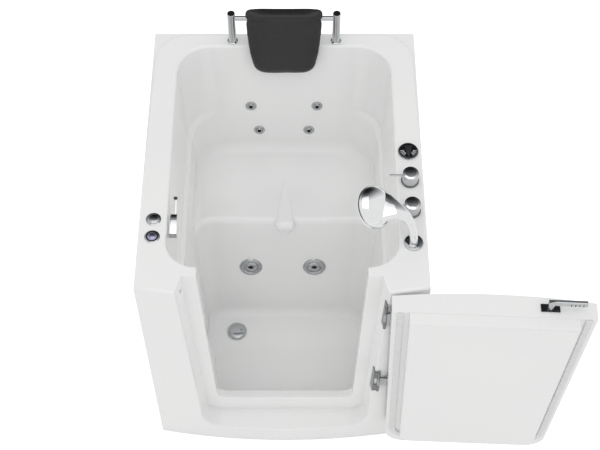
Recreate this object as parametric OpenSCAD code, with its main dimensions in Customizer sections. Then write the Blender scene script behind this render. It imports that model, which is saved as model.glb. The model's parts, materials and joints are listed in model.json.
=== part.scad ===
// Walk-in bathtub with an outward-opening door: acrylic shell, steel frame, door with latch,
// deck fittings, head cushion, jets, pump and waste. Origin on the floor at the centre foot,
// +X towards the hinge side, +Y to the rear, +Z up. The door stands open at rest.

/* [Tub] */
// Overall width
tub_w = 813; // [800:1:860]
// Origin to the front corners
front_reach = 465; // [460:1:500]
// Origin to the rear edge
rear_reach = 474; // [470:1:500]
// Height of the deck above the floor
tub_h = 915; // [900:1:960]
// How far the front face bows out at its middle
bow = 36; // [25:1:45]
// Wall of the moulded shell
shell_t = 7; // [5:0.5:8]
// Drop from the deck to the rear flange
flange_drop = 10; // [6:1:14]
// Thickness of the flange
flange_t = 8; // [6:1:12]
// Rounding of the basin rim and the deck edge
rim_r = 8; // [4:1:10]
// Rounding of the door frame edges
edge_r = 6; // [3:1:8]

/* [Basin] */
// Height of the seat
seat_z = 500; // [470:1:520]
// Width of the side decks
deck_side = 78.5; // [71:0.5:86]
// Width of the rear deck
deck_rear = 62; // [59:1:69]
// Front corners to the basin's front wall
deck_front = 70; // [65:1:75]
// Lean of the backrest from upright
back_tilt = 10.6; // [8:0.1:13]
// Height of the armrest ledge
ledge_z = 657; // [640:1:680]
// Height of the footwell floor
floor_z = 70; // [66:1:80]
// Front edge of the seat, behind the origin
seat_front = 40; // [36:1:60]
// Lean of the footwell's rear wall from upright
foot_tilt = 11.6; // [9:0.1:12]

/* [Doorway] */
// Width of the sealing jambs at the deck, from the recess to the opening
jamb_w = 55; // [54:1:62]
// Height of the sill
sill_z = 160; // [150:1:180]
// Depth of the sealing face behind the front corners
seal_depth = 38; // [35:1:41]
// Side of the tub to the recess, at the deck and the front face
recess_side = 114.5; // [110:0.5:116.5]
// Height of the recess ledge at the front face
recess_z = 81; // [78:1:86]

/* [Door] */
// Angle at which the door stands open
open_angle = 177.5; // [150:0.5:178]
// Gap between the recess and the door's edge at the deck
door_gap = 15; // [14:1:22]
// Gap between the opening and the door's plug at the deck
plug_gap = 7; // [6:1:17]
// Depth of the plug
plug_d = 38; // [30:1:39]
// Wall of the door mouldings
door_t = 5; // [4:0.5:6]
// Radius of a hinge knuckle
knuckle_r = 4.8; // [4:0.1:5.2]
// Length of a hinge
hinge_len = 120; // [90:1:140]

/* [Fittings] */
// Pitch of the dial and the valves
fitting_pitch = 105; // [95:1:110]
// Radius of a valve knob
knob_r = 23; // [20:0.5:24]
// Height of a valve knob
knob_h = 34; // [28:1:40]
// Radius of the shower head
head_r = 60; // [50:1:62]
// Radius of the water inlets
inlet_r = 10.48; // [9:0.01:12]
// Radius of the waste outlet
waste_r = 19.05; // [16:0.05:25]
// Radius of a back jet's ring
back_jet_r = 18; // [15:0.5:20]
// Radius of a foot jet's ring
foot_jet_r = 38; // [32:0.5:40]

/* [Cushion] */
// Width at the top
cushion_w = 235; // [200:1:240]
// Width at the bottom
cushion_w_low = 180; // [150:1:200]
// Thickness at the middle
cushion_t = 38; // [34:1:42]

/* [Frame] */
// Side of the frame's square tube
tube_a = 30; // [25:1:32]
// Wall of the tube
tube_t = 2; // [1.5:0.5:3]

/* [Hidden] */

acrylic = "#f2f2f1";
chrome = "#c8ccd0";
steel = "#9aa0a6";
dark = "#2b2c2e";
pipe_white = "#e4e4e0";

hw = tub_w / 2;
basin_hw = hw - deck_side;
basin_rear = rear_reach - deck_rear;
basin_front = front_reach - deck_front;
recess_hw = hw - recess_side;
open_hw = recess_hw - jamb_w;
seal_y = front_reach - seal_depth;
door_hw = recess_hw - door_gap;
plug_hw = open_hw - plug_gap;
// One overrun for all cuts
over = 2;
// Clearance between pieces that move past each other
gap = 0.3;
// Radial clearance of a turning or sliding fit
fit = 0.05;
corner_steps = 8;
edge_steps = 3;
bow_steps = 16;

// Shared shape functions
function bow_y(x) = -front_reach - bow * (1 - x * x / (hw * hw));
function arc_pts(cx, cy, r, a0, n) =
    [for (i = [0:n]) [cx + r * cos(a0 + 90 * i / n), cy + r * sin(a0 + 90 * i / n)]];
function pan(w, y0, y1, r0, r1) = concat(
    arc_pts(w - r0, y0 + r0, r0, -90, corner_steps), arc_pts(w - r1, y1 - r1, r1, 0, corner_steps),
    arc_pts(r1 - w, y1 - r1, r1, 90, corner_steps), arc_pts(r0 - w, y0 + r0, r0, 180, corner_steps));
function lift(ring, z) = [for (p = ring) [p[0], p[1], z]];
function flip(ring) = [for (i = [len(ring) - 1:-1:0]) [-ring[i][0], ring[i][1]]];
function ease(t) = (1 - cos(180 * t)) / 2;

// End face of a ring of n points, of which the first 2 * h mirror each other about X = 0
function end_face(n, h) = h == 0 ? [[for (j = [0:n - 1]) j]] : concat(
    [for (i = [1:h - 2]) [i, i + 1, 2 * h - 2 - i, 2 * h - 1 - i]],
    [[1, 2 * h - 2, 2 * h - 1]],
    [for (j = [2 * h - 1:n - 1]) [1, j, (j + 1) % n]]);
// A closed solid through a stack of rings, each counter-clockwise seen from the last one
module skin(rings, h = 0) {
    n = len(rings[0]);
    m = len(rings);
    polyhedron(
        points = [for (ring = rings) for (p = ring) p],
        faces = concat(
            end_face(n, h),
            [for (i = [0:m - 2]) for (j = [0:n - 1])
                [i * n + j, (i + 1) * n + j, (i + 1) * n + (j + 1) % n]],
            [for (i = [0:m - 2]) for (j = [0:n - 1])
                [i * n + j, (i + 1) * n + (j + 1) % n, i * n + (j + 1) % n]],
            [for (f = end_face(n, h)) [for (k = [len(f) - 1:-1:0]) (m - 1) * n + f[k]]]));
}
// The same, for rings that stand upright and follow each other towards the front
module skin_front(rings) rotate([90, 0, 0]) skin(rings, (len(rings[0]) - ledge_cells + 1) / 2);
// Round tube along a route; radii has one value for each point
function unit(v) = v / norm(v);
function ring_at(c, t, up, ru, rv, n) =
    let(u = unit(cross(up, t)), v = cross(t, u))
    [for (j = [0:n - 1]) c + ru * cos(360 * j / n) * u + rv * sin(360 * j / n) * v];
module sweep(path, ru, rv, up, n = 20) {
    last = len(path) - 1;
    skin([for (i = [0:last])
        ring_at(path[i], unit(path[min(i + 1, last)] - path[max(i - 1, 0)]), up, ru[i], rv[i], n)]);
}
elbow_share = 1.15;
module pipe_run(points, r) {
    for (i = [0:len(points) - 2]) {
        d = points[i + 1] - points[i];
        translate(points[i]) rotate([0, acos(d[2] / norm(d)), atan2(d[1], d[0])])
            cylinder(h = norm(d), r = r, $fn = 32);
    }
    for (i = [1:1:len(points) - 2]) translate(points[i]) sphere(r = r * elbow_share, $fn = 32);
}

// Basin: widths and corner radii at each height
wall_draft = 38;
seat_hw = basin_hw - wall_draft;
ledge_step = 13;
ledge_rise = 18;
ledge_draft = 9;
ledge_hw = seat_hw + ledge_draft;
seat_fillet = 32;
floor_fillet = 26;
rear_corner_r = 100;
low_corner_r = 112;
front_corner_r = 90;
foot_corner_r = 60;
floor_draft = 28;
floor_hw = seat_hw - floor_draft;
nose_r = 18;
nose_over = 60;
function side_hw(z) = lookup(z, [[seat_z, seat_hw], [ledge_z - ledge_rise / 2, ledge_hw],
    [ledge_z + ledge_rise / 2, ledge_hw + ledge_step], [tub_h, basin_hw]]);
function rear_r(z) = lookup(z, [[ledge_z - ledge_rise / 2, low_corner_r],
    [ledge_z + ledge_rise / 2, rear_corner_r]]);
function back_y(z) = basin_rear - (tub_h - z) * tan(back_tilt);
function foot_back(z) = seat_front - (seat_z - z) * tan(foot_tilt);
function foot_hw(z) = z > seat_z ? side_hw(z) : lookup(z, [[floor_z, floor_hw], [seat_z, seat_hw]]);
function seat_ring(z, d) = lift(pan(side_hw(z) - d, -basin_front + d, back_y(z) - d,
    front_corner_r - d, rear_r(z) - d), z);
function foot_r0(z) = lookup(z, [[floor_z, foot_corner_r], [seat_z, front_corner_r]]);
function nose(z) = let(s = min(max(z - (seat_z - nose_r), 0), nose_r))
    nose_r - sqrt(nose_r * nose_r - s * s);
function foot_ring(z, d) = lift(pan(foot_hw(z) - d, -basin_front + d, foot_back(min(z, seat_z))
    + nose(z) - d, foot_r0(z) - d, foot_corner_r - d), z);

// o is the outward offset: zero for the hollow, the wall for the outside
function seat_rings(o) = concat(
    [for (i = [0:edge_steps + 1]) let(a = 90 * i / (edge_steps + 1), f = seat_fillet + o)
        [for (p = seat_ring(seat_z + seat_fillet * (1 - cos(a)), f * (1 - sin(a)) - o))
            [p[0], p[1], seat_z - o + f * (1 - cos(a))]]],
    [for (i = [0:edge_steps + 1]) let(t = i / (edge_steps + 1),
        z = ledge_z - ledge_rise / 2 + ledge_rise * t,
        ze = ledge_z - ledge_rise / 2 + ledge_rise * ease(t))
        [for (p = seat_ring(ze, -o)) [p[0], p[1], z]]]);
module seat_hollow() skin(concat(seat_rings(0),
    [for (i = [0:edge_steps]) let(a = 90 * i / edge_steps)
        seat_ring(tub_h - rim_r + rim_r * sin(a), -rim_r * (1 - cos(a)))],
    [lift(seat_ring(tub_h, -rim_r), tub_h + over)]));
module seat_body() skin(concat(seat_rings(shell_t), [seat_ring(flange_z, -shell_t)]));
function foot_rings(o) = concat(
    [for (i = [0:edge_steps]) let(a = 90 * i / edge_steps, f = floor_fillet + o)
        [for (p = foot_ring(floor_z + floor_fillet * (1 - cos(a)), f * (1 - sin(a)) - o))
            [p[0], p[1], floor_z - o + f * (1 - cos(a))]]],
    [for (i = [0:edge_steps]) foot_ring(seat_z - nose_r * (1 - sin(90 * i / edge_steps)), -o)],
    [foot_ring(seat_z + seat_fillet, -o), foot_ring(seat_z + nose_over, nose_r)]);
module foot_form(o) skin(foot_rings(o));

// Deck
flange_z = tub_h - flange_drop;
deck_low = flange_z - flange_t;
side_strip = 9;
taper_start = 100;
deck_corner_r = 100;
rear_lip = 8.5;
function front_arc(w, inset) =
    [for (i = [0:bow_steps]) let(x = w * (2 * i / bow_steps - 1)) [x, bow_y(x) + inset]];
function deck_half(d) = let(w = hw - side_strip - d, y1 = rear_reach - rear_lip - d)
    concat([[hw - d, -taper_start]], arc_pts(w - deck_corner_r, y1 - deck_corner_r, deck_corner_r, 0,
        corner_steps));
function deck_outline(d) = concat(front_arc(hw - d, d), deck_half(d), flip(deck_half(d)));
module raised_deck() hull() {
    translate([0, 0, deck_low]) linear_extrude(tub_h - rim_r - deck_low) polygon(deck_outline(0));
    for (i = [1:edge_steps]) let(a = 90 * i / edge_steps)
        translate([0, 0, deck_low]) linear_extrude(tub_h - rim_r * (1 - sin(a)) - deck_low)
            polygon(deck_outline(rim_r * (1 - cos(a))));
}
module flange() translate([0, 0, deck_low]) linear_extrude(flange_t)
    polygon(concat(front_arc(hw, 0), [[hw, rear_reach], [-hw, rear_reach]]));

// Front apron
apron_t = 8;
floor_gap = 2;
module apron() translate([0, 0, floor_gap]) linear_extrude(deck_low - floor_gap + over)
    polygon(concat(front_arc(hw, 0), [for (i = [bow_steps:-1:0])
        let(x = hw * (2 * i / bow_steps - 1)) [x, bow_y(x) + apron_t]]));

// Doorway: U-shaped rings in X and Z, stacked towards the front
taper_share = 0.0337;
seal_step = 14;
seal_rise = 8;
seal_z = recess_z + seal_rise;
recess_r = 70;
seal_r = 42;
open_r = 34;
open_taper_share = 0.026;
ledge_cells = 10;
function u_half(w, low, r, low_w) = concat(
    arc_pts(low_w - r, low + r, r, -90, corner_steps),
    [for (i = [0:edge_steps]) let(a = 90 * i / edge_steps)
        [w + edge_r * (1 - cos(a)), tub_h - edge_r + edge_r * sin(a)]],
    [[w + edge_r, tub_h + over]]);
function u_low(half) = [for (i = [1:ledge_cells - 1])
    [half[0][0] * (2 * i / ledge_cells - 1), half[0][1]]];
function u_ring(w, low, r, share) = let(half = u_half(w, low, r, w - (tub_h - low) * share))
    concat(half, flip(half), u_low(half));
function flat(ring, d) = [for (p = ring) [p[0], p[1], d]];
function bowed(ring, inset) = [for (p = ring) [p[0], p[1], -bow_y(p[0]) - inset]];
function recess_ring(e) = u_ring(recess_hw + e, recess_z - e, recess_r + e, taper_share);
module recess_cut() skin_front(concat(
    [flat(u_ring(recess_hw - seal_step, seal_z, seal_r, taper_share), seal_y)],
    [for (i = [0:edge_steps]) let(a = 90 * i / edge_steps)
        bowed(recess_ring(edge_r * (1 - cos(a))), edge_r * (1 - sin(a)))],
    [flat(recess_ring(edge_r), front_reach + bow + edge_r)]));
function open_ring(e) = u_ring(open_hw + e, sill_z - e, open_r + e, open_taper_share);
module opening_cut() skin_front(concat(
    [flat(open_ring(edge_r), basin_front - open_r)],
    [for (i = [0:edge_steps]) let(a = 90 * i / edge_steps)
        flat(open_ring(edge_r * (1 - sin(a))), basin_front + edge_r * (1 - cos(a)))],
    [for (i = [0:edge_steps]) let(a = 90 * i / edge_steps)
        flat(open_ring(edge_r * (1 - cos(a))), seal_y - edge_r * (1 - sin(a)))],
    [flat(open_ring(edge_r), seal_y + edge_r)]));
function block_ring(w, low, r) = let(low_w = w - (tub_h - low) * taper_share,
    half = concat(arc_pts(low_w - r, low + r, r, -90, corner_steps), [[w, flange_z]]))
    concat(half, flip(half), u_low(half));
module recess_body() intersection() {
    skin_front([
        flat(block_ring(recess_hw - seal_step + shell_t, seal_z - shell_t, seal_r + shell_t),
            basin_front + shell_t / 2),
        flat(block_ring(recess_hw - seal_step + shell_t, seal_z - shell_t, seal_r + shell_t), seal_y),
        flat(block_ring(recess_hw + shell_t, recess_z - shell_t, recess_r + shell_t),
            front_reach + bow)]);
    linear_extrude(tub_h) polygon(concat(front_arc(hw, apron_t / 2), [[hw, 0], [-hw, 0]]));
}
// Half width of the recess wall at a height and a depth
function side_at(w, low, r, z) = w - (tub_h - edge_r - z) * taper_share * (tub_h - low)
    / (tub_h - edge_r - low - r);
function recess_wall(z, y) = let(front = side_at(recess_hw, recess_z, recess_r, z),
    back = side_at(recess_hw - seal_step, seal_z, seal_r, z))
    back + (front - back) * (-y - seal_y) / (-bow_y(front) - edge_r - seal_y);

// Seat pommel
pommel_back = 165;
pommel_hw = 13;
pommel_r = 20;
pommel_drop = 60;
pommel_tip_r = 6;
pommel_stand = 1;
module pommel() difference() {
    hull() {
        translate([0, seat_front + pommel_back, seat_z - pommel_tip_r + pommel_stand])
            sphere(r = pommel_tip_r, $fn = 24);
        for (s = [-1, 1]) {
            translate([s * pommel_hw, seat_front - pommel_r / 2, seat_z - pommel_r / 2])
                sphere(r = pommel_r, $fn = 24);
            translate([s * pommel_hw / 2, foot_back(seat_z - pommel_drop) + pommel_tip_r / 2,
                seat_z - pommel_drop]) sphere(r = pommel_tip_r, $fn = 24);
        }
    }
    translate([-pommel_r * 3, seat_front + nose_r, seat_z - shell_t / 2 - pommel_drop])
        cube([pommel_r * 6, pommel_back, pommel_drop]);
}

// Places of the fittings
jet_rows = [178, 77];
foot_jet_rise = 217;
back_jets = [[-110, seat_z + jet_rows[0]], [104, seat_z + jet_rows[0]],
    [-85, seat_z + jet_rows[1]], [78, seat_z + jet_rows[1]]];
foot_jets = [[-115, floor_z + foot_jet_rise], [97, floor_z + foot_jet_rise]];
fitting_side = 40.5;
button_side = 41.5;
fitting_x = hw - fitting_side;
button_x = hw - button_side;
pump_button_in = 226;
light_button_in = 167;
shower_in = 147;
pump_button_y = pump_button_in - front_reach;
light_button_y = light_button_in - front_reach;
shower_y = shower_in - front_reach;
shower_gap = 108;
cold_y = shower_y + shower_gap;
hot_y = cold_y + fitting_pitch;
dial_y = hot_y + fitting_pitch;
drain_in = 95;
drain_x = drain_in - floor_hw;
drain_y = -130;
post_x = 161;
post_in = 40;
post_y = rear_reach - post_in;
suction_in = 185;
suction_y = suction_in - front_reach;
suction_z = 200;
module on_back(x, z) translate([x, back_y(z), z]) rotate([90 - back_tilt, 0, 0]) children();
module on_foot(x, z) translate([x, foot_back(z), z]) rotate([90 - foot_tilt, 0, 0]) children();
suction_x = foot_hw(suction_z);
suction_lean = atan((seat_hw - floor_hw) / (seat_z - floor_z));
module on_suction() translate([-suction_x, suction_y, suction_z]) rotate([0, 90 - suction_lean, 0])
    children();

// Holes in the shell
back_sleeve_r = 14;
foot_sleeve_r = 30;
button_r = 17;
button_sleeve_r = 19;
neck_r = 14;
post_stub_r = 5;
drain_r = 22;
suction_r = 20;
hole_depth = 40;
knuckle_room = 1;
module deck_hole(x, y, r) translate([x, y, deck_low - over]) cylinder(h = hole_depth, r = r, $fn = 32);
module shell_holes() {
    for (j = back_jets) on_back(j[0], j[1]) translate([0, 0, -hole_depth / 2])
        cylinder(h = hole_depth, r = back_sleeve_r, $fn = 32);
    for (j = foot_jets) on_foot(j[0], j[1]) translate([0, 0, -hole_depth / 2])
        cylinder(h = hole_depth, r = foot_sleeve_r, $fn = 40);
    on_suction() translate([0, 0, -hole_depth / 2]) cylinder(h = hole_depth, r = suction_r, $fn = 32);
    for (y = [pump_button_y, light_button_y]) deck_hole(-button_x, y, button_sleeve_r);
    for (y = [dial_y, hot_y, cold_y, shower_y]) deck_hole(fitting_x, y, neck_r);
    for (s = [-1, 1]) deck_hole(s * post_x, post_y, post_stub_r);
    translate([drain_x, drain_y, floor_z - hole_depth / 2])
        cylinder(h = hole_depth, r = drain_r, $fn = 40);
    for (z = hinge_zs) translate([hinge_x, hinge_y, z - hinge_len / 2 - over])
        cylinder(h = hinge_len + 2 * over, r = knuckle_r + knuckle_room, $fn = 32);
    translate([-bolt_reach - bolt_travel - over, bolt_y - bolt_a / 2 - gap, bolt_z - gap])
        cube([bolt_travel, bolt_a + 2 * gap, bolt_a + 2 * gap]);
}
module tub_shell() color(acrylic) {
    difference() {
        union() {
            seat_body();
            foot_form(shell_t);
            raised_deck();
            flange();
            apron();
            recess_body();
        }
        seat_hollow();
        foot_form(0);
        recess_cut();
        opening_cut();
        shell_holes();
    }
    pommel();
}

// Side panels and frame
panel_t = 5;
side_x = hw - panel_t - tube_a / 2;
inner_in = 181.5;
inner_x = hw - inner_in;
rail_front_gap = 35;
rail_rear_gap = 49;
front_rail_y = front_reach - rail_front_gap;
rear_rail_y = rear_reach - rail_rear_gap;
mid_rails = [105, 275];
rail_z = floor_z - shell_t - tube_a / 2;
module side_panel(s) color(acrylic) translate([s > 0 ? hw - panel_t : -hw, apron_t - front_reach,
    floor_gap]) cube([panel_t, front_reach - apron_t + rear_reach, deck_low - floor_gap]);
module side_panel_left() side_panel(-1);
module side_panel_right() side_panel(1);
module tube(l) difference() {
    linear_extrude(l) square(tube_a, center = true);
    translate([0, 0, -over]) linear_extrude(l + 2 * over) square(tube_a - 2 * tube_t, center = true);
}
module tube_x(x0, x1, y, z) translate([x0, y, z]) rotate([0, 90, 0]) tube(x1 - x0);
module tube_y(y0, y1, x, z) translate([x, y1, z]) rotate([90, 0, 0]) tube(y1 - y0);
module tube_z(z0, z1, x, y) translate([x, y, z0]) tube(z1 - z0);
module frame_long_rails() color(steel)
    for (x = [-side_x, -inner_x, inner_x, side_x])
        tube_y(-front_rail_y + tube_a / 2, rear_rail_y - tube_a / 2, x, rail_z);
module frame_cross_rails() color(steel) difference() {
    union() {
        for (y = [-front_rail_y, rear_rail_y])
            tube_x(-side_x - tube_a / 2, side_x + tube_a / 2, y, rail_z);
        tube_x(-inner_x + tube_a / 2, inner_x - tube_a / 2, 0, rail_z);
        for (s = [-1, 1]) tube_x(s > 0 ? inner_x + tube_a / 2 : -side_x + tube_a / 2,
            s > 0 ? side_x - tube_a / 2 : -inner_x - tube_a / 2, 0, rail_z);
    }
    for (p = concat(feet, [[0, 0]])) translate([p[0], p[1], 0])
        cylinder(h = rail_z, r = stud_r, $fn = 24);
}
module frame_uprights() color(steel)
    for (s = [-1, 1], y = [-front_rail_y, mid_rails[0], mid_rails[1], rear_rail_y])
        tube_z(rail_z + tube_a / 2, deck_low, s * side_x, y);
module frame_seat_bearers() color(steel)
    for (y = mid_rails) tube_x(-side_x + tube_a / 2, side_x - tube_a / 2, y,
        seat_z - shell_t - tube_a / 2);

// Feet
foot_in = 56.5;
foot_x = hw - foot_in;
outer_in = 101.5;
outer_x = hw - outer_in;
feet = [[-foot_x, -front_rail_y], [foot_x, -front_rail_y], [-foot_x, rear_rail_y],
    [foot_x, rear_rail_y], [-outer_x, 0], [outer_x, 0]];
pad_r = 22;
pad_t = 9;
stud_r = 6;
nut_af = 19;
nut_t = 10;
module foot() {
    rotate_extrude($fn = 40) polygon([[0, 0], [pad_r, 0], [pad_r, pad_t / 2], [stud_r * 1.5, pad_t],
        [0, pad_t]]);
    translate([0, 0, pad_t]) cylinder(h = rail_z - pad_t, r = stud_r, $fn = 24);
}
module levelling_feet() color(dark) for (p = feet) translate([p[0], p[1], 0]) foot();
module centre_foot() color(dark) foot();
module lock_nuts() color(steel) for (p = concat(feet, [[0, 0]]))
    translate([p[0], p[1], rail_z - tube_a / 2 - nut_t]) difference() {
        cylinder(h = nut_t, r = nut_af / sqrt(3), $fn = 6);
        translate([0, 0, -over]) cylinder(h = nut_t + 2 * over, r = stud_r, $fn = 24);
    }
clip_a = 28;
clip_t = 3;
clip_in = 165;
clip_ys = [clip_in - front_reach, 0, (mid_rails[1] + rear_rail_y) / 2];
module panel_clips() color(steel) for (s = [0, 1], y = clip_ys) mirror([s, 0, 0])
    translate([hw - panel_t - clip_a, y - clip_a / 2, rail_z + tube_a / 2]) {
        cube([clip_a, clip_a, clip_t]);
        translate([clip_a - clip_t, 0, clip_t]) cube([clip_t, clip_a, clip_a - clip_t]);
    }

// Pump
tray_t = 4;
tray_y0 = 90;
tray_y1 = 395;
pump_y = 190;
pump_z = 165;
motor_r = 62;
motor_x0 = -60;
motor_x1 = 130;
volute_r = 75;
volute_x0 = -120;
volute_t = 6;
shaft_r = 6;
impeller_r = 58;
impeller_x0 = -106;
impeller_x1 = -74;
vane_t = 4;
vane_n = 6;
tray_z = rail_z + tube_a / 2;
module along_x(x0, x1, r, f = 48) translate([x0, pump_y, pump_z]) rotate([0, 90, 0])
    cylinder(h = x1 - x0, r = r, $fn = f);
module pump_tray() color(steel) translate([-inner_x - tube_a / 2, tray_y0, tray_z])
    cube([2 * inner_x + tube_a, tray_y1 - tray_y0, tray_t]);
module pump_cradle() color(dark) difference() {
    for (x = [motor_x0 + tube_a, motor_x1 - 2 * tube_a])
        translate([x, pump_y - motor_r * 0.7, tray_z + tray_t])
            cube([tube_a, motor_r * 1.4, pump_z - tray_z - tray_t - motor_r * 0.6]);
    along_x(motor_x0, motor_x1, motor_r);
}
rib_n = 24;
rib_t = 3;
wall_t = 3;
module pump_motor() color("#3c4248") difference() {
    union() {
        along_x(motor_x0, motor_x1, motor_r);
        for (i = [4:rib_n - 4]) translate([motor_x0 + tube_a, pump_y, pump_z])
            rotate([360 * i / rib_n - 90, 0, 0]) translate([0, motor_r - rib_t, -rib_t / 2])
                cube([motor_x1 - motor_x0 - 2 * tube_a, 2 * rib_t, rib_t]);
    }
    along_x(motor_x0 - over, (motor_x0 + motor_x1) / 2, shaft_r + fit, 32);
}
module pump_volute() color(dark) difference() {
    union() {
        along_x(volute_x0, motor_x0, volute_r);
        translate([riser_x, pump_y, pump_z])
            cylinder(h = volute_r + volute_t, r = pipe_r + wall_t, $fn = 32);
    }
    along_x(volute_x0 + volute_t, motor_x0 - volute_t, volute_r - 2 * volute_t);
    along_x(volute_x0 - over, volute_x0 + 2 * volute_t, suction_r - wall_t);
    along_x(motor_x0 - 2 * volute_t, motor_x0 + over, shaft_r + fit, 32);
    translate([riser_x, pump_y, pump_z + impeller_r])
        cylinder(h = volute_r, r = pipe_r - wall_t, $fn = 32);
}
module pump_impeller() color("#d8d2c4") {
    along_x((impeller_x0 + impeller_x1) / 2, impeller_x1, impeller_r);
    along_x(impeller_x1, (motor_x0 + motor_x1) / 2 - over, shaft_r, 32);
    for (i = [0:vane_n - 1]) translate([impeller_x0, pump_y, pump_z]) rotate([360 * i / vane_n, 0, 0])
        translate([0, -vane_t / 2, shaft_r * 2]) rotate([30, 0, 0])
            cube([(impeller_x1 - impeller_x0) / 2, vane_t, impeller_r - shaft_r * 5]);
}

// Water lines
pipe_r = 16;
riser_x = -90;
riser_turn_z = 385;
foot_tail = 46;
back_tail = 42;
foot_pipe_y = foot_back(foot_jets[0][1]) + foot_tail * cos(foot_tilt);
foot_pipe_z = foot_jets[0][1] - foot_tail * sin(foot_tilt);
function back_pipe(z) = [0, back_y(z) + back_tail * cos(back_tilt), z - back_tail * sin(back_tilt)];
upper = back_pipe(back_jets[0][1]);
lower = back_pipe(back_jets[2][1]);
back_pipe_r = 11;
module foot_pipe() pipe_run([[foot_jets[0][0] - foot_sleeve_r, foot_pipe_y, foot_pipe_z],
    [foot_jets[1][0] + foot_sleeve_r, foot_pipe_y, foot_pipe_z]], pipe_r);
module foot_manifold() color(pipe_white) foot_pipe();
module back_pipes() {
    for (row = [[upper, 0, 1], [lower, 2, 3]])
        translate([back_jets[row[1]][0] - back_sleeve_r, row[0][1], row[0][2]]) rotate([0, 90, 0])
            cylinder(h = back_jets[row[2]][0] - back_jets[row[1]][0] + 2 * back_sleeve_r,
                r = back_pipe_r, $fn = 32);
    pipe_run([upper, lower], back_pipe_r);
}
module back_manifold() color(pipe_white) back_pipes();
branch_r = 14;
module pressure_riser() color(pipe_white) {
    pipe_run([[riser_x, pump_y, pump_z + volute_r + volute_t], [riser_x, pump_y, riser_turn_z],
        [0, lower[1], riser_turn_z], lower - [0, 0, back_pipe_r]], pipe_r);
    pipe_run([[riser_x, pump_y, foot_pipe_z], [riser_x, foot_pipe_y + pipe_r, foot_pipe_z]], branch_r);
}
suction_run_in = 76.5;
suction_run_x = hw - suction_run_in;
grille_r = 38;
grille_t = 5;
module suction_pipe() color(pipe_white) difference() {
    pipe_run([[-suction_x - shell_t / 2, suction_y, suction_z], [-suction_run_x, suction_y, suction_z],
        [-suction_run_x, pump_y, suction_z], [-suction_run_x, pump_y, pump_z],
        [volute_x0, pump_y, pump_z]], suction_r - over);
    on_suction() translate([0, 0, -shell_t]) cylinder(h = hole_depth, r = suction_r * 2, $fn = 32);
}
module suction_grille() color(chrome) on_suction() difference() {
    union() {
        rotate_extrude($fn = 48) polygon([[0, 0], [grille_r, 0], [grille_r - grille_t / 2, grille_t],
            [0, grille_t]]);
        translate([0, 0, -shell_t]) cylinder(h = shell_t, r = suction_r, $fn = 32);
    }
    translate([0, 0, -shell_t - over]) cylinder(h = shell_t + over, r = suction_r - wall_t, $fn = 32);
    for (r = [grille_r * 0.25, grille_r * 0.62], i = [0:7]) rotate([0, 0, 45 * i])
        translate([r, 0, -over]) cylinder(h = grille_t * 2, r = grille_r * 0.07, $fn = 16);
}
box_size = [110, 70, 120];
box_at = [115, 318];
gland_r = 9;
gland_l = 18;
module control_box() color("#55595e") translate([box_at[0], box_at[1], tray_z + tray_t]) cube(box_size);
module power_gland() color(dark) translate([box_at[0] + box_size[0] / 2, box_at[1] + box_size[1],
    tray_z + tray_t + box_size[2] / 4]) rotate([-90, 0, 0]) difference() {
        rotate_extrude($fn = 32) polygon([[0, 0], [gland_r, 0], [gland_r, gland_l / 2],
            [gland_r * 0.8, gland_l], [0, gland_l]]);
        translate([0, 0, gland_l / 2]) cylinder(h = gland_l, r = gland_r / 2, $fn = 24);
    }

// Jets
ring_t = 4;
back_bore_r = 10;
foot_bore_r = 23;
bore_depth = 14;
module jet_body(r, bore, tail) difference() {
    translate([0, 0, -tail]) cylinder(h = tail, r = r, $fn = 40);
    translate([0, 0, -bore_depth]) cylinder(h = bore_depth + over, r = bore, $fn = 40);
}
module back_jet_bodies() color(pipe_white) difference() {
    for (j = back_jets) on_back(j[0], j[1]) jet_body(back_sleeve_r, back_bore_r, back_tail);
    back_pipes();
}
module foot_jet_bodies() color(pipe_white) difference() {
    for (j = foot_jets) on_foot(j[0], j[1]) jet_body(foot_sleeve_r, foot_bore_r + fit, foot_tail);
    foot_pipe();
}
module jet_ring(r, bore, t) rotate_extrude($fn = 64)
    polygon([[bore, 0], [r, 0], [r - t * 0.2, t * 0.6], [r - t, t], [bore, t * 0.6]]);
module back_jet_rings() color(chrome) for (j = back_jets) on_back(j[0], j[1])
    jet_ring(back_jet_r, back_bore_r, ring_t);
module back_jet_nozzles() color(dark) for (j = back_jets) on_back(j[0], j[1]) difference() {
    translate([0, 0, -bore_depth]) cylinder(h = bore_depth + ring_t * 0.4, r = back_bore_r, $fn = 32);
    translate([0, 0, -bore_depth / 2]) cylinder(h = bore_depth, r = back_bore_r * 0.4, $fn = 24);
}
module foot_jet_rings() color(chrome) for (j = foot_jets) on_foot(j[0], j[1])
    jet_ring(foot_jet_r, foot_bore_r + fit, ring_t * 1.5);
module foot_nozzle(j) color(chrome) on_foot(j[0], j[1]) difference() {
    rotate_extrude($fn = 48) polygon([[0, gap - bore_depth], [foot_bore_r, gap - bore_depth],
        [foot_bore_r, ring_t], [foot_bore_r * 0.7, ring_t * 2], [0, ring_t * 2]]);
    translate([foot_bore_r * 0.3, 0, -bore_depth / 2])
        cylinder(h = hole_depth, r = foot_bore_r * 0.3, $fn = 32);
}
module foot_nozzle_left() foot_nozzle(foot_jets[0]);
module foot_nozzle_right() foot_nozzle(foot_jets[1]);

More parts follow.
